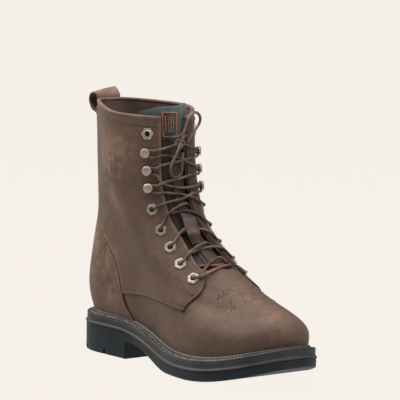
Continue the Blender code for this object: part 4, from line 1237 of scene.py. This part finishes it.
# %% Build the pull loop
LOOP_LINE = (
    (-3.9, 226), (-4.0, 231.5), (-8.6, 238), (-13.5, 244.5), (-14.4, 250), (-12.2, 253.8), (-8, 254.2),
    (-4.8, 250.5), (-4.0, 246), (-3.9, 242),
)
LOOP_SHARE, LOOP_GIRTHS = 0.95, (0.80, 1.20)
STRAP_WIDTH, STRAP_THICK, STRAP_EDGE, STRAP_THINNEST = 28.0, 2.2, 1.0, 0.15
STRAP_SHIFT, STRAP_TILT = -2.0, 0.2
STRAP_FREE, STRAP_FREE_BOW = (4.0, 10.0), 0.3
STRAP_STEPS, STRAP_COLUMNS = 90, 27
STRAP_CUT_WIDTH, STRAP_CUT_DARK, STRAP_TOP_PALE, STRAP_RIDGE_Z = 0.7, 0.7, 0.9, (246.0, 253.0)


def back_bulge(y):
    """How far the shaft's back face lies forward of its rearmost line at a place y across it."""
    points = last_point(LOOP_SHARE, np.linspace(*LOOP_GIRTHS, 401))
    return np.interp(y, points[:, 1], points[:, 0] - points[:, 0].min())


def build_pull_loop():
    """The strap as a slab between two faces, paler along its top."""
    line = np.array(LOOP_LINE, float)
    path = spline(np.arange(len(line)), line, np.linspace(0, len(line) - 1, STRAP_STEPS))
    run = unit(np.gradient(path, axis=0))
    outward = np.stack([-run[:, 1], run[:, 0]], 1)
    back = last_point(LOOP_SHARE, 1.0)
    across = np.sin(np.linspace(-1, 1, STRAP_COLUMNS) * math.pi / 2) * STRAP_WIDTH / 2
    inset = STRAP_WIDTH / 2 - np.abs(across)
    plump = np.maximum(np.sqrt(1 - np.clip(1 - inset / STRAP_EDGE, 0, 1) ** 2), STRAP_THINNEST)
    bow = 1 - (1 - STRAP_FREE_BOW) * ease(-path[:, 0], *STRAP_FREE)
    bulge = back[0] + np.outer(bow, back_bulge(back[1] + across))
    beside = np.broadcast_to(back[1] + STRAP_SHIFT + across, bulge.shape)
    tilt = np.outer(ease(-path[:, 0], *STRAP_FREE), across) * STRAP_TILT

    def face(depth):
        """The strap's grid at a depth from its middle line."""
        side = path[:, None] + outward[:, None] * (depth * plump)[None, :, None]
        return np.stack([side[..., 0] + bulge, beside, side[..., 1] + tilt], -1)

    cut = np.broadcast_to(band(inset, 0.0, STRAP_CUT_WIDTH), bulge.shape)
    # The strap's top is painted paler
    ridge = np.repeat(STRAP_TOP_PALE * ease(path[:, 1], *STRAP_RIDGE_Z), STRAP_COLUMNS)
    values = {"cut": STRAP_CUT_DARK * np.tile(cut.ravel(), 2), "rub": np.tile(ridge, 2)}
    half = STRAP_THICK / 2
    return add_piece("pull_strap", *slab(face(half), face(-half)), UPPER_LEATHER, values)


dress(build_pull_loop(), "upper_leather", "pull_loop")

# %% [markdown]
# ## Copies on seats and along seams
# Eyelets, hooks and stitches repeat, so each is modelled once. A tree of geometry nodes then sets copies of
# it on seats, or evenly along a seam, standing on the leather's normal and turned along the seam. Modelling
# hundreds of stitches by hand would be slow, and a picture of stitches would not catch the light.

# %% Geometry node trees
SHADE_SEED = 4


def copying_tree(name, on_seam):
    """A tree that sets copies of a shape on points, or evenly along a line of points, in one finish."""
    tree = bpy.data.node_groups.new(name, "GeometryNodeTree")
    tree.interface.new_socket("Geometry", in_out="INPUT", socket_type="NodeSocketGeometry")
    for label_text, kind in (("Shape", "Object"), ("Finish", "Material"), ("Pitch", "Float")):
        tree.interface.new_socket(label_text, in_out="INPUT", socket_type="NodeSocket" + kind)
    tree.interface.new_socket("Geometry", in_out="OUTPUT", socket_type="NodeSocketGeometry")
    given = add_node(tree, "NodeGroupInput").outputs
    attribute = "GeometryNodeInputNamedAttribute"
    normal = add_node(tree, attribute, {"Name": "normal"}, data_type="FLOAT_VECTOR").outputs[0]
    if on_seam:
        line = add_node(tree, "GeometryNodeMeshToCurve", {"Mesh": given["Geometry"]}).outputs[0]
        even = {"Curve": line, "Length": given["Pitch"]}
        seats = add_node(tree, "GeometryNodeResampleCurve", even, mode="LENGTH").outputs[0]
        run = add_node(tree, "GeometryNodeInputTangent").outputs[0]
    else:
        seats = given["Geometry"]
        run = add_node(tree, attribute, {"Name": "run"}, data_type="FLOAT_VECTOR").outputs[0]
    align = "FunctionNodeAlignRotationToVector"
    stand = add_node(tree, align, {"Vector": normal}, axis="Z").outputs[0]
    turn = add_node(tree, align, {"Rotation": stand, "Vector": run}, axis="X", pivot_axis="Z").outputs[0]
    shape = add_node(tree, "GeometryNodeObjectInfo", {"Object": given["Shape"], "As Instance": True})
    where = {"Points": seats, "Instance": shape.outputs["Geometry"], "Rotation": turn}
    placed_copies = add_node(tree, "GeometryNodeInstanceOnPoints", where)
    shade = add_node(tree, "FunctionNodeRandomValue", {"Seed": SHADE_SEED}).outputs[1]
    store = {"Geometry": placed_copies.outputs[0], "Name": "shade", "Value": shade}
    tinted = add_node(tree, "GeometryNodeStoreNamedAttribute", store, data_type="FLOAT", domain="INSTANCE")
    plain = add_node(tree, "GeometryNodeRealizeInstances", {"Geometry": tinted.outputs[0]})
    coat = {"Geometry": plain.outputs[0], "Material": given["Finish"]}
    done = add_node(tree, "GeometryNodeSetMaterial", coat)
    add_node(tree, "NodeGroupOutput", {"Geometry": done.outputs[0]})
    return tree


ON_SEATS, ON_SEAM = copying_tree("Copies on seats", False), copying_tree("Copies along a seam", True)


def copies(name, tree, chains, shape, finish, pitch=0.0):
    """Copies of a shape on chains of seats. A chain is a list of points, normals and directions."""
    points, normals, runs = (np.concatenate(part).astype(float) for part in zip(*chains))
    ends = np.cumsum([len(chain[0]) for chain in chains])
    edges = [(i, i + 1) for i in range(len(points) - 1) if i + 1 not in ends]
    mesh = bpy.data.meshes.new(name)
    mesh.from_pydata(placed(points).tolist(), edges if tree is ON_SEAM else [], [])
    for key, vectors in (("normal", normals), ("run", runs)):
        mesh.attributes.new(key, "FLOAT_VECTOR", "POINT").data.foreach_set("vector", vectors.ravel())
    thing = bpy.data.objects.new(name, mesh)
    bpy.context.scene.collection.objects.link(thing)
    modifier = thing.modifiers.new("Copies", "NODES")
    modifier.node_group = tree
    values = {"Shape": shape, "Finish": finish, "Pitch": pitch / MM_PER_M}
    for socket in tree.interface.items_tree:
        if socket.in_out == "INPUT" and socket.name in values:
            modifier[socket.identifier] = values[socket.name]
    graph = bpy.context.evaluated_depsgraph_get()
    made = bpy.data.meshes.new_from_object(thing.evaluated_get(graph), depsgraph=graph)
    thing.modifiers.clear()
    thing.data = made
    bpy.data.meshes.remove(mesh)
    return thing


def model(name, points, faces, finish):
    """A shape to copy, in millimetres about its own seat."""
    return add_piece(name, np.asarray(points, float) + ORIGIN, faces, finish, sharp=40)


print("trees ready:", ON_SEATS.name, "and", ON_SEAM.name)

# %% [markdown]
# ## Eyelets and hooks
# The lace runs through six pressed hexagonal eyelets on each facing and round three hooks. Both are plated
# with antique nickel: a warm pale metal, brightest on its worn rims and dark in its hollows. The hole of an
# eyelet shows only shade, so it is closed by a small dark disc of painted shade.

# %% Nickel and the fittings' places
# Seats of the fittings, from the top: share, and distance aside from the front line
Fitting = namedtuple("Fitting", "name share aside")
FITTINGS = (
    Fitting("eyelet_1", 0.935, 34.5),
    Fitting("hook_1", 0.865, 36.0),
    Fitting("hook_2", 0.805, 35.5),
    Fitting("hook_3", 0.748, 36.5),
    Fitting("eyelet_2", 0.680, 38.5),
    Fitting("eyelet_3", 0.608, 38.0),
    Fitting("eyelet_4", 0.543, 38.5),
    Fitting("eyelet_5", 0.475, 40.0),
    Fitting("eyelet_6", 0.415, 37.5),
)
FITTING_DEPTH, FITTING_SIDES, NICKEL_CLOUD = 1.75, 24, 3.0
# Rows of an eyelet from its outer foot to its hole: radius, height, and how hexagonal it is
EYELET_ROWS = (
    (6.3, 0.0, 1.0), (6.3, 0.6, 1.0), (5.9, 1.1, 1.0), (4.5, 1.35, 0.6), (3.6, 1.15, 0.0), (3.2, 1.5, 0.0),
    (2.7, 1.45, 0.0), (2.4, 1.0, 0.0), (2.35, 0.1, 0.0),
)
HOOK_ROWS = (
    (3.6, 0.0, 0.0), (3.5, 0.6, 0.0), (3.0, 1.0, 0.0), (1.75, 1.2, 0.0), (1.65, 2.6, 0.0), (1.75, 4.0, 0.0),
    (4.2, 4.25, 0.0), (4.65, 4.7, 0.0), (4.5, 5.2, 0.0), (3.6, 5.75, 0.0), (2.0, 6.1, 0.0), (0.0, 6.2, 0.0),
)
# The dark disc of painted shade inside each eyelet's hole
SHADE_DISC_ROWS = ((2.5, 0.2, 0.0), (1.2, 0.15, 0.0), (0.0, 0.15, 0.0))


def nickel(name, dark, light):
    """Plated metal, cloudy between two tones, smoother where it is bright."""
    material, tree, shader = new_material(name)
    cloud = noise(tree, NICKEL_CLOUD, 4.0)
    tree.links.new(blend(tree, cloud, dark, light), shader.inputs["Base Color"])
    rough = add_node(tree, "ShaderNodeMapRange", {0: cloud, 3: 0.55, 4: 0.3})
    tree.links.new(rough.outputs[0], shader.inputs["Roughness"])
    set_values(shader, Metallic=0.85)
    return material


NICKEL = nickel("Antique nickel plate", "#77736a", "#c0bbae")
# Flat near-black for the painted shade inside the eyelets' holes and the pinholes
HOLE_SHADE, _, hole_shade_shader = new_material("Dark eyelet bore")
set_values(hole_shade_shader, Base_Color=linear("#0c0a09"), Roughness=0.9)


print(len(FITTINGS), "fittings on each facing")

# %% [markdown]
# ## Turning the fittings
# An eyelet and a hook are both turned bodies: a short profile swung round an axis. The eyelet's rim is then
# pulled out to a hexagon. Each is set on its seats by the tree for seats, and takes the place of its
# solids.

# %% Build the fittings


def turned(rows):
    """Points and faces of a turned body, round or hexagonal at each of its rows."""
    turn = np.linspace(0, 2 * math.pi, FITTING_SIDES, endpoint=False)
    flat = math.cos(math.pi / 6) / np.cos(turn % (math.pi / 3) - math.pi / 6)
    rings = []
    for radius, height, hexagon in rows:
        reach = radius * (1 + hexagon * (flat - 1))
        level = np.full(len(turn), height)
        rings.append(np.column_stack([reach * np.cos(turn), reach * np.sin(turn), level]))
    return np.concatenate(rings), quads(len(rows), len(turn), closed=True)


def of_kind(kind):
    """Rows of the fittings of one kind."""
    return [row for row in FITTINGS if row.name.startswith(kind)]


def seats(kind):
    """Points, normals and directions of the seats of one kind of fitting, on both facings."""
    places = [(row.share, side * row.aside) for row in of_kind(kind) for side in (1, -1)]
    found = [(share, girth_from_front(share, aside)) for share, aside in places]
    point, normal, up_run, _ = last_frame(*np.array(found).T)
    return point + normal * FITTING_DEPTH, normal, unit(np.cross(up_run, normal))


def fitting_nodes(kind):
    """Names of the solids of one kind of fitting."""
    return [row.name + side for row in of_kind(kind) for side in ("_lateral", "_medial")]


def build_copies(name, tree, chains, shape_parts, finish, pitch=0.0):
    """A piece made of copies of a shape, which is removed again."""
    shape = model(name + "_shape", *shape_parts, finish)
    piece = copies(name, tree, chains, shape, finish, pitch)
    bpy.data.objects.remove(shape)
    return piece


def build_fittings(name, kind, rows, finish):
    """A turned body on each seat of one kind."""
    return build_copies(name, ON_SEATS, [seats(kind)], turned(rows), finish)


eyelets = build_fittings("eyelets", "eyelet", EYELET_ROWS, NICKEL)
dress(eyelets, "fitting_nickel", *fitting_nodes("eyelet"))
dress(build_fittings("eyelet_bores", "eyelet", SHADE_DISC_ROWS, HOLE_SHADE), "fitting_nickel")
dress(build_fittings("hooks", "hook", HOOK_ROWS, NICKEL), "fitting_nickel", *fitting_nodes("hook"))

# %% [markdown]
# ## The lace
# One round waxed lace starts as a bar outside the lowest eyelets. Each half then comes up through a hole,
# crosses over the edge and the tongue, and dives under the other facing to the next hole. At the hooks it
# runs on the outside and turns round each stem. It could be drawn by hand, point by point. Here a strand is
# a few rows that say how far it has climbed, how far it lies inside the facing's edge and how deep, so that
# every strand is drawn by the same rows, and one smooth curve goes through them all.

# %% Lace material and tube
LACE, LACE_SIDES, CORD_CLOUD, BRAID = 2.7, 10, 11.0, 0.9


def waxed_cord(name, dark, light, warm):
    """Braided cord: two browns, orange-brown where its warm values are high, and a fine braid."""
    material, tree, shader = new_material(name)
    cloudy = spread_out(tree, noise(tree, CORD_CLOUD, 3.0), 0.38, 0.62)
    brown = blend(tree, cloudy, dark, light)
    tone = blend(tree, product(tree, noted(tree, "warm"), cloudy), brown, warm)
    tree.links.new(tone, shader.inputs["Base Color"])
    relief(tree, shader, texture(tree, "Voronoi", BRAID, "Distance"), 0.5, 0.4)
    set_values(shader, Roughness=0.55)
    return material


LACE_CORD = waxed_cord("Brown waxed lace", "#2a211e", "#4d3f39", "#835947")


def cord_path(points, step=1.0):
    """Evenly spaced points on one smooth curve through a route."""
    points = np.asarray(points, float)
    knots = np.concatenate([[0], np.cumsum(np.sqrt(np.linalg.norm(np.diff(points, axis=0), axis=1)))])
    fine = spline(knots, points, np.linspace(0, knots[-1], 30 * len(points)))
    run = run_length(fine)
    even = np.linspace(0, run[-1], max(int(run[-1] / step), 2))
    return np.column_stack([np.interp(even, run, fine[:, k]) for k in range(3)])


def tube(path, radius):
    """Points and faces of a round cord along a path."""
    run = unit(np.gradient(path, axis=0))
    across = [unit(np.cross(run[0], (0.3, 0.5, 0.8)))]
    for direction in run[1:]:
        across.append(unit(across[-1] - direction * (across[-1] @ direction)))
    across = np.array(across)
    turn = np.linspace(0, 2 * math.pi, LACE_SIDES, endpoint=False)[:, None]
    ring_out = np.cos(turn) * across[:, None] + np.sin(turn) * np.cross(run, across)[:, None]
    return sweep(path[:, None] + ring_out * radius)


def add_cord(name, path, warm):
    """A piece of lace along a path. warm gives how orange it is at heights z."""
    points, faces = tube(path, LACE / 2)
    return add_piece(name, points, faces, LACE_CORD, {"warm": warm(points[:, 2])})


print("lace", LACE, "mm thick")

# %% Rows of the lace
# Rows of a strand on its facing: share of the climb, share of the hole's way in from the edge, and depth
OUT_OF_HOLE = ((0.0, 1.0, -3.4), (0.0, 1.0, 0.8), (0.06, 0.93, 4.2), (0.35, 0.5, 3.6), (0.68, 0.04, 2.9))
BAR_FROM_HOLE = ((0.5, 0.04, 2.9), (0.35, 0.5, 3.6), (0.1, 0.93, 4.2))
UNDER_FROM_HOLE = ((0.0, 1.0, -3.2), (0.1, 0.93, -4.4), (0.35, 0.5, -4.4), (0.6, 0.04, -3.9))
UNDER_TO_HOLE = ((1.25, 0.04, -3.9), (1.2, 0.5, -4.4), (1.0, 0.95, -4.5))
INTO_HOLE = ((0.2, 0.04, -3.9), (0.55, 0.5, -4.4), (0.93, 0.95, -4.5))
# Rows round a hook: share above the hook, distance aside from it, and depth
ROUND_HOOK = (
    (-0.0125, -9.0, 4.2), (-0.0115, -3.0, 4.4), (-0.0083, 2.2, 4.4), (0.0, 3.4, 4.4), (0.0083, 2.2, 4.4),
    (0.0115, -3.0, 4.4), (0.0125, -9.0, 4.2),
)
HOOK_TO_EDGE, EDGE_TO_HOOK = ((0.55, 0.05, 3.3),), ((0.4, 0.05, 3.3),)
# Where strands cross the front line: share of the one that left the lateral fitting, and of the medial one
Crossing = namedtuple("Crossing", "after lateral medial")
CROSSINGS = {
    row.after: row
    for row in (
        Crossing("eyelet_6", 0.480, 0.450),
        Crossing("eyelet_5", 0.544, 0.531),
        Crossing("eyelet_4", 0.621, 0.607),
        Crossing("eyelet_3", 0.698, 0.676),
        Crossing("eyelet_2", 0.717, 0.732),
        Crossing("hook_3", 0.784, 0.755),
        Crossing("hook_2", 0.842, 0.857),
    )
}
CROSS_DEPTHS = {1: -0.3, -1: -2.7}
BAR_SHARE, BAR_DEPTH = 0.438, 1.6
LACED_FROM = 0.46
# The lower strands are painted orange by height, for wear and as painted sunlight
WARM_BELOW, WARM_ABOVE, WARM_FADE_Z = 0.95, 0.3, (100.0, 128.0)
HOLE_DEPTH = 0.8
KNOT_AT = (135.5, -14.0, 211.0)
# Where both halves enter the knot
LATERAL_ENTRY, MEDIAL_ENTRY = (-1.0, 4.0, 0.5), (0.0, -4.0, -0.5)


print(len(CROSSINGS), "crossings")

# %% [markdown]
# ## Running the lace
# Both halves are built by one function that changes sides at every crossing, and joined in one length from
# knot to knot. Where they cross, one lies over the other. The lower strands are painted an orange brown,
# partly for wear and partly as painted sunlight.

# %% Run the lace up the facings


def over_last(share, aside, depth, side):
    """A place over the last at a distance aside from the front line."""
    return off_last(share, girth_from_front(share, side * max(aside, 0.0)), depth)


def strand(rows, start, end, hole, side):
    """Points of a strand between two shares, on the facing of a hole."""
    points = []
    for climb, inward, depth in rows:
        share = start + climb * (end - start)
        edge = gap_to(max(share, LACED_FROM), side)
        aside = edge + inward * (hole.aside - gap_to(max(hole.share, LACED_FROM), side))
        points.append(over_last(share, aside, depth, side))
    return points


def half_lace(side):
    """Half of the lace, from the middle of the lowest bar to its last hook. side is its lowest hole's."""
    stops = [row for row in FITTINGS[::-1] if row.name != "eyelet_1"]
    route = [off_last(BAR_SHARE, 0.0, BAR_DEPTH)]
    route += strand(BAR_FROM_HOLE, stops[0].share, BAR_SHARE, stops[0], side)
    route.append(over_last(stops[0].share, stops[0].aside, HOLE_DEPTH, side))
    for start, end in zip(stops, stops[1:]):
        crossing = CROSSINGS[start.name]
        middle = crossing.lateral if side > 0 else crossing.medial
        rows = UNDER_FROM_HOLE if start is stops[0] else OUT_OF_HOLE
        leaving = rows if start.name.startswith("eyelet") else HOOK_TO_EDGE
        route += strand(leaving, start.share, middle, start, side)
        route.append(off_last(middle, 0.0, CROSS_DEPTHS[side]))
        side = -side
        if end.name.startswith("eyelet"):
            rows = UNDER_TO_HOLE if start is stops[0] else INTO_HOLE
            route += strand(rows, middle, end.share, end, side)
        else:
            route += strand(EDGE_TO_HOOK, middle, end.share, end, side)
            for rise, aside, depth in ROUND_HOOK:
                route.append(over_last(end.share + rise, end.aside + aside, depth, side))
    return route


def lace_warmth(z):
    """The lower crossings are painted orange brown, for wear and as painted sunlight."""
    return WARM_BELOW - (WARM_BELOW - WARM_ABOVE) * ease(z, *WARM_FADE_Z)


def build_lacing():
    """Both halves in one length, from knot to knot."""
    lateral, medial = half_lace(1), half_lace(-1)
    knot = np.array(KNOT_AT)
    lateral.append(knot + LATERAL_ENTRY)
    medial.append(knot + MEDIAL_ENTRY)
    path = cord_path(medial[:0:-1] + lateral)
    print("lace through the eyelets:", round(run_length(path)[-1]), "mm")
    return add_cord("lacing", path, lace_warmth)


dress(build_lacing(), "lace_cord", "lace_crossings")

# %% [markdown]
# ## The bow
# The lace is tied in a small bow: one loop stands up, the other hangs, and the two ends slip behind the
# facings. Loops and ends follow soft curves of the lace's own thickness. The knot between them is a trefoil
# of the same cord, pulled flat.

# %% Tie the bow
UPPER_ROUTE = (
    (126.4, -21.0, 216.0), (129.2, -20.9, 216.8), (132.2, -19.9, 217.2), (134.9, -17.4, 217.6),
    (137.0, -14.0, 218.8), (138.4, -11.6, 222.2), (139.0, -10.0, 227.2), (139.2, -7.6, 232.8),
    (139.0, -4.0, 238.0), (138.8, 0.8, 240.6), (138.6, 5.4, 239.0), (138.6, 7.6, 234.6),
    (138.9, 6.0, 229.6), (139.4, 2.0, 225.0), (140.0, -2.4, 220.6), (140.5, -6.0, 216.0),
    (140.6, -8.8, 211.6),
)
LOWER_ROUTE = (
    (126.4, 8.0, 216.2), (127.8, 4.4, 217.3), (129.3, 0.4, 217.9), (130.9, -3.6, 217.8),
    (132.8, -7.6, 216.8), (135.0, -11.2, 214.8), (137.2, -14.4, 211.8), (139.2, -17.6, 207.6),
    (140.8, -21.4, 202.2), (141.8, -25.6, 196.4), (142.2, -28.8, 190.2), (142.2, -28.6, 184.4),
    (142.0, -24.8, 180.6), (142.0, -19.8, 180.8), (142.0, -16.4, 184.8), (141.8, -15.4, 190.6),
    (141.2, -14.8, 197.0), (140.4, -13.8, 203.0),
)
BOW_WARM, BOW_WARM_Z, GUIDE_STEPS = 0.55, (205.0, 225.0), 36
KNOT_ACROSS, KNOT_THROUGH, KNOT_WARM, KNOT_POINTS = 1.5, 1.45, 0.4, 90
KNOT_FACING = (0.8, -0.55, 0.2)


def build_bow(name, route, *nodes):
    """A loop of the bow with its end."""
    path = cord_path(route)
    # The bow's higher parts are painted orange as painted sunlight
    piece = add_cord(name, path, lambda z: BOW_WARM * ease(z, *BOW_WARM_Z))
    dress(piece, "lace_cord", *nodes)
    guide = placed(cord_path(route, run_length(path)[-1] / GUIDE_STEPS))


def build_knot():
    """A trefoil of cord, flat against the tongue."""
    turn = np.linspace(0, 2 * math.pi, KNOT_POINTS, endpoint=False)
    across = np.sin(turn) + 2 * np.sin(2 * turn)
    rise = np.cos(turn) - 2 * np.cos(2 * turn)
    through = -np.sin(3 * turn)
    out = unit(np.array(KNOT_FACING))
    side = unit(np.cross((0.0, 0.0, 1.0), out))
    path = np.array(KNOT_AT) + KNOT_ACROSS * (np.outer(across, side) + np.outer(rise, np.cross(out, side)))
    path = path + np.outer(through, out) * KNOT_THROUGH
    return add_cord("bow_knot", np.concatenate([path, path[:1]]), lambda z: np.full(len(z), KNOT_WARM))


build_bow("bow_upper", UPPER_ROUTE, "lace_upper_loop", "lace_lateral_end")
build_bow("bow_lower", LOWER_ROUTE, "lace_lower_loop", "lace_medial_end")
dress(build_knot(), "lace_cord", "lace_knot")

# %% [markdown]
# ## Stitches
# Thick thread holds the panels: two rows beside each edge, with the thread sunk in a groove. One stitch is
# a short half-buried capsule. Rows are the panel's own edge lines, moved aside across the leather, so that
# they stay at an even distance from the cut. A bump in the leather could hint at them, but real capsules
# keep their light and shade from every side.

# %% Threads and stitches
THREAD_WIDTH, THREAD_HEIGHT, TWIST = 0.8, 0.45, 0.5
EDGE_ROW, SECOND_ROW = 2.6, 5.4
STITCH_PITCH, STITCH_LENGTH, STITCH_SIDES = 3.0, 2.2, 6
# Sections of a stitch along its half length
STITCH_ENDS = np.array([-1.0, -0.8, -0.4, 0.0, 0.4, 0.8, 1.0])
ON_PANEL, ON_SKIN = 1.65, 0.1
HEM_SHARE, HEM_START = 0.966, 0.02
EYESTAY_ROWS = ((0.70, 0.322), (0.588, 0.303), (0.438, 0.315), (0.331, 0.307), (0.288, 0.283))
EYESTAY_GAP = 2.6


def thread(name, dark, light):
    """Twisted thread whose stitches differ a little in tone."""
    material, tree, shader = new_material(name)
    tree.links.new(blend(tree, noted(tree, "shade"), dark, light), shader.inputs["Base Color"])
    relief(tree, shader, noise(tree, TWIST, 2.0), 0.4, 0.2)
    set_values(shader, Roughness=0.7)
    return material


BROWN_THREAD = thread("Brown bonded thread", "#3f332c", "#6c5a4e")
WELT_THREAD = thread("Rust and pale welt thread", "#5f3f2e", "#a8917c")
# Its dark stitches are the painted shade of needle holes between the pale ones
ORNAMENT_THREAD = thread("Rose-brown ornament thread", "#3a2b24", "#a88a79")
ORANGE_THREAD = thread("Orange label thread", "#b06a36", "#d69058")


def stitch_shape(length, width, height):
    """Points and faces of one stitch: a low capsule that bulges out of the leather."""
    turn = np.linspace(0, 2 * math.pi, STITCH_SIDES, endpoint=False)
    rings = []
    for x, fat in zip(STITCH_ENDS, np.sqrt(np.maximum(1 - np.abs(STITCH_ENDS) ** 4, 0.0))):
        across, rise = width / 2 * fat * np.cos(turn), height * fat * np.sin(turn)
        rings.append(np.column_stack([np.full(STITCH_SIDES, length / 2 * x), across, rise]))
    return loft(np.array(rings))


def seam(line, aside, depth):
    """Points, normals and directions of a row of stitches, moved aside from a line on the last."""
    point, normal, _, _ = last_frame(line[:, 0], line[:, 1])
    run = unit(np.gradient(point, axis=0))
    height = depth + slack(line[:, 0], line[:, 1])
    return point + np.cross(normal, run) * aside + normal * height[:, None], normal, run


def sew(name, chains, finish, pitch=STITCH_PITCH, size=(STITCH_LENGTH, THREAD_WIDTH, THREAD_HEIGHT)):
    """A piece of stitches along seams. size is a stitch's length, width and height."""
    return build_copies(name, ON_SEAM, chains, stitch_shape(*size), finish, pitch)


print("threads ready, a stitch of the panels is", STITCH_LENGTH, "mm long")

# %% Sew the panels


def both_sides(line, *rows):
    """Seams beside a line of the lateral side, and beside its mirror image. A row is a distance aside."""
    lateral = [seam(line, aside, ON_PANEL) for aside in rows]
    return lateral + [seam(mirrored(line), -aside, ON_PANEL) for aside in rows]


def panel_seams():
    """Every row of stitches on the panels."""
    foot, _, _, front = quarter
    eyestay = smooth_line(EYESTAY_ROWS)
    hem_girths = np.linspace(throat_girth(HEM_SHARE) + HEM_START, 1.0, 120)
    hem = np.column_stack([np.full(len(hem_girths), HEM_SHARE), hem_girths])
    rows = both_sides(foot, EDGE_ROW, SECOND_ROW) + both_sides(QUARTER_TIP[:-6], EDGE_ROW, SECOND_ROW)
    rows += [seam(front[len(QUARTER_TIP) :], EDGE_ROW, ON_PANEL)] + both_sides(eyestay, 0.0, EYESTAY_GAP)
    return rows + both_sides(hem, 0.0)


dress(sew("panel_stitches", panel_seams(), BROWN_THREAD), "upper_leather")

# %% [markdown]
# ## Sewing on welt, vamp and label
# The welt shows a row of thick lockstitches in its channel. The vamp carries an ornament of fine rows, arcs
# over short fans, which is read off the photograph on one side and mirrored to the other. The label's
# border and bars are bright orange thread. All of them use the same stitch and the same tree, with other
# sizes and threads.

# %% Sew the welt, the vamp and the label
WELT_ROW_ACROSS, WELT_ROW_RISE, WELT_ROW_GIRTHS = 0.62, 1.75, (1.02, 2.98)
# Pitch of each seam, and its stitch's length, width and height
WELT_PITCH, WELT_STITCH = 3.6, (2.7, 1.1, 0.7)
ORNAMENT_PITCH, ORNAMENT_STITCH = 2.3, (1.5, 1.1, 0.5)
LABEL_PITCH, LABEL_STITCH, ON_LABEL = 1.9, (1.6, 0.8, 0.5), 1.0
# The ornament on the vamp: arcs over fans of short rows, as shares and girths of the lateral half
VAMP_ROWS = (
    ((0.326, 0.162), (0.335, 0.118), (0.333, 0.082), (0.331, 0.049), (0.321, 0.013)),
    ((0.319, 0.154), (0.321, 0.102), (0.318, 0.057), (0.313, 0.029)),
    ((0.304, 0.106), (0.302, 0.074), (0.298, 0.037)),
    ((0.281, 0.223), (0.246, 0.230), (0.213, 0.236)),
    ((0.300, 0.190), (0.268, 0.198), (0.238, 0.211)),
    ((0.312, 0.158), (0.285, 0.174), (0.257, 0.193)),
    ((0.294, 0.110), (0.272, 0.136), (0.243, 0.165), (0.213, 0.186)),
    ((0.281, 0.114), (0.250, 0.127), (0.219, 0.146)),
    ((0.213, 0.174), (0.236, 0.130), (0.246, 0.090), (0.256, 0.053)),
    ((0.256, 0.033), (0.253, 0.021), (0.250, 0.009)),
    ((0.244, 0.037), (0.234, 0.041), (0.224, 0.045)),
)
PINHOLES = ((0.294, 0.275), (0.181, 0.347), (0.406, 0.150), (0.381, 0.166))
PINHOLE_ROWS, PINHOLE_LIFT = ((0.85, 0.0, 0.0), (0.5, 0.06, 0.0), (0.0, 0.06, 0.0)), 0.03


def welt_seam():
    """The row of lockstitches in the welt's channel, from the back of one side round the toe to the other."""
    girths = np.linspace(*WELT_ROW_GIRTHS, 700)
    plan = welt_plan(girths, WELT_ROW_ACROSS)
    points = np.column_stack([plan, deck_z(plan[:, 0]) + WELT_ROW_RISE])
    return points, np.tile((0.0, 0.0, 1.0), (len(points), 1)), unit(np.gradient(points, axis=0))


def label_seams():
    """The label's stitched border and three plain bars inside it."""
    sheet = tongue_sheet(TONGUE_DEPTH + ON_LABEL)
    normals = unit(np.cross(np.gradient(sheet, axis=0), np.gradient(sheet, axis=1)))
    (low, high), (left, far) = LABEL_ROWS, LABEL_COLUMNS
    foot = [(low, c) for c in range(left, far)]
    top = [(high - 1, c) for c in range(far - 1, left - 1, -1)]
    far_side = [(r, far - 1) for r in range(low, high)]
    near_side = [(r, left) for r in range(high - 1, low - 1, -1)]
    bars = [[(r, c) for r in range(low + 2, high - 2)] for c in range(left + 3, far - 2, 3)]
    chains = []
    for cells in [foot + far_side + top + near_side] + bars:
        rows, columns = np.array(list(dict.fromkeys(cells))).T
        points = sheet[rows, columns]
        chains.append((points, normals[rows, columns], unit(np.gradient(points, axis=0))))
    return chains


def build_pinholes():
    """Small dark discs, the painted shade of needle pricks."""
    point, normal, _, round_run = last_frame(*np.array(PINHOLES).T)
    chain = (point + normal * (PANEL_HIGH + PINHOLE_LIFT), normal, unit(round_run))
    return build_copies("pinholes", ON_SEATS, [chain], turned(PINHOLE_ROWS), HOLE_SHADE)


dress(sew("welt_stitches", [welt_seam()], WELT_THREAD, WELT_PITCH, WELT_STITCH), "welt_strip")
vamp_lines = [smooth_line(rows, 60) for rows in VAMP_ROWS]
vamp_dots = [seam(line, 0.0, ON_SKIN) for line in vamp_lines + [mirrored(line) for line in vamp_lines]]
dress(sew("vamp_dots", vamp_dots, ORNAMENT_THREAD, ORNAMENT_PITCH, ORNAMENT_STITCH), "upper_leather")
dress(sew("label_stitches", label_seams(), ORANGE_THREAD, LABEL_PITCH, LABEL_STITCH), "tongue_leather")
dress(build_pinholes(), "upper_leather")
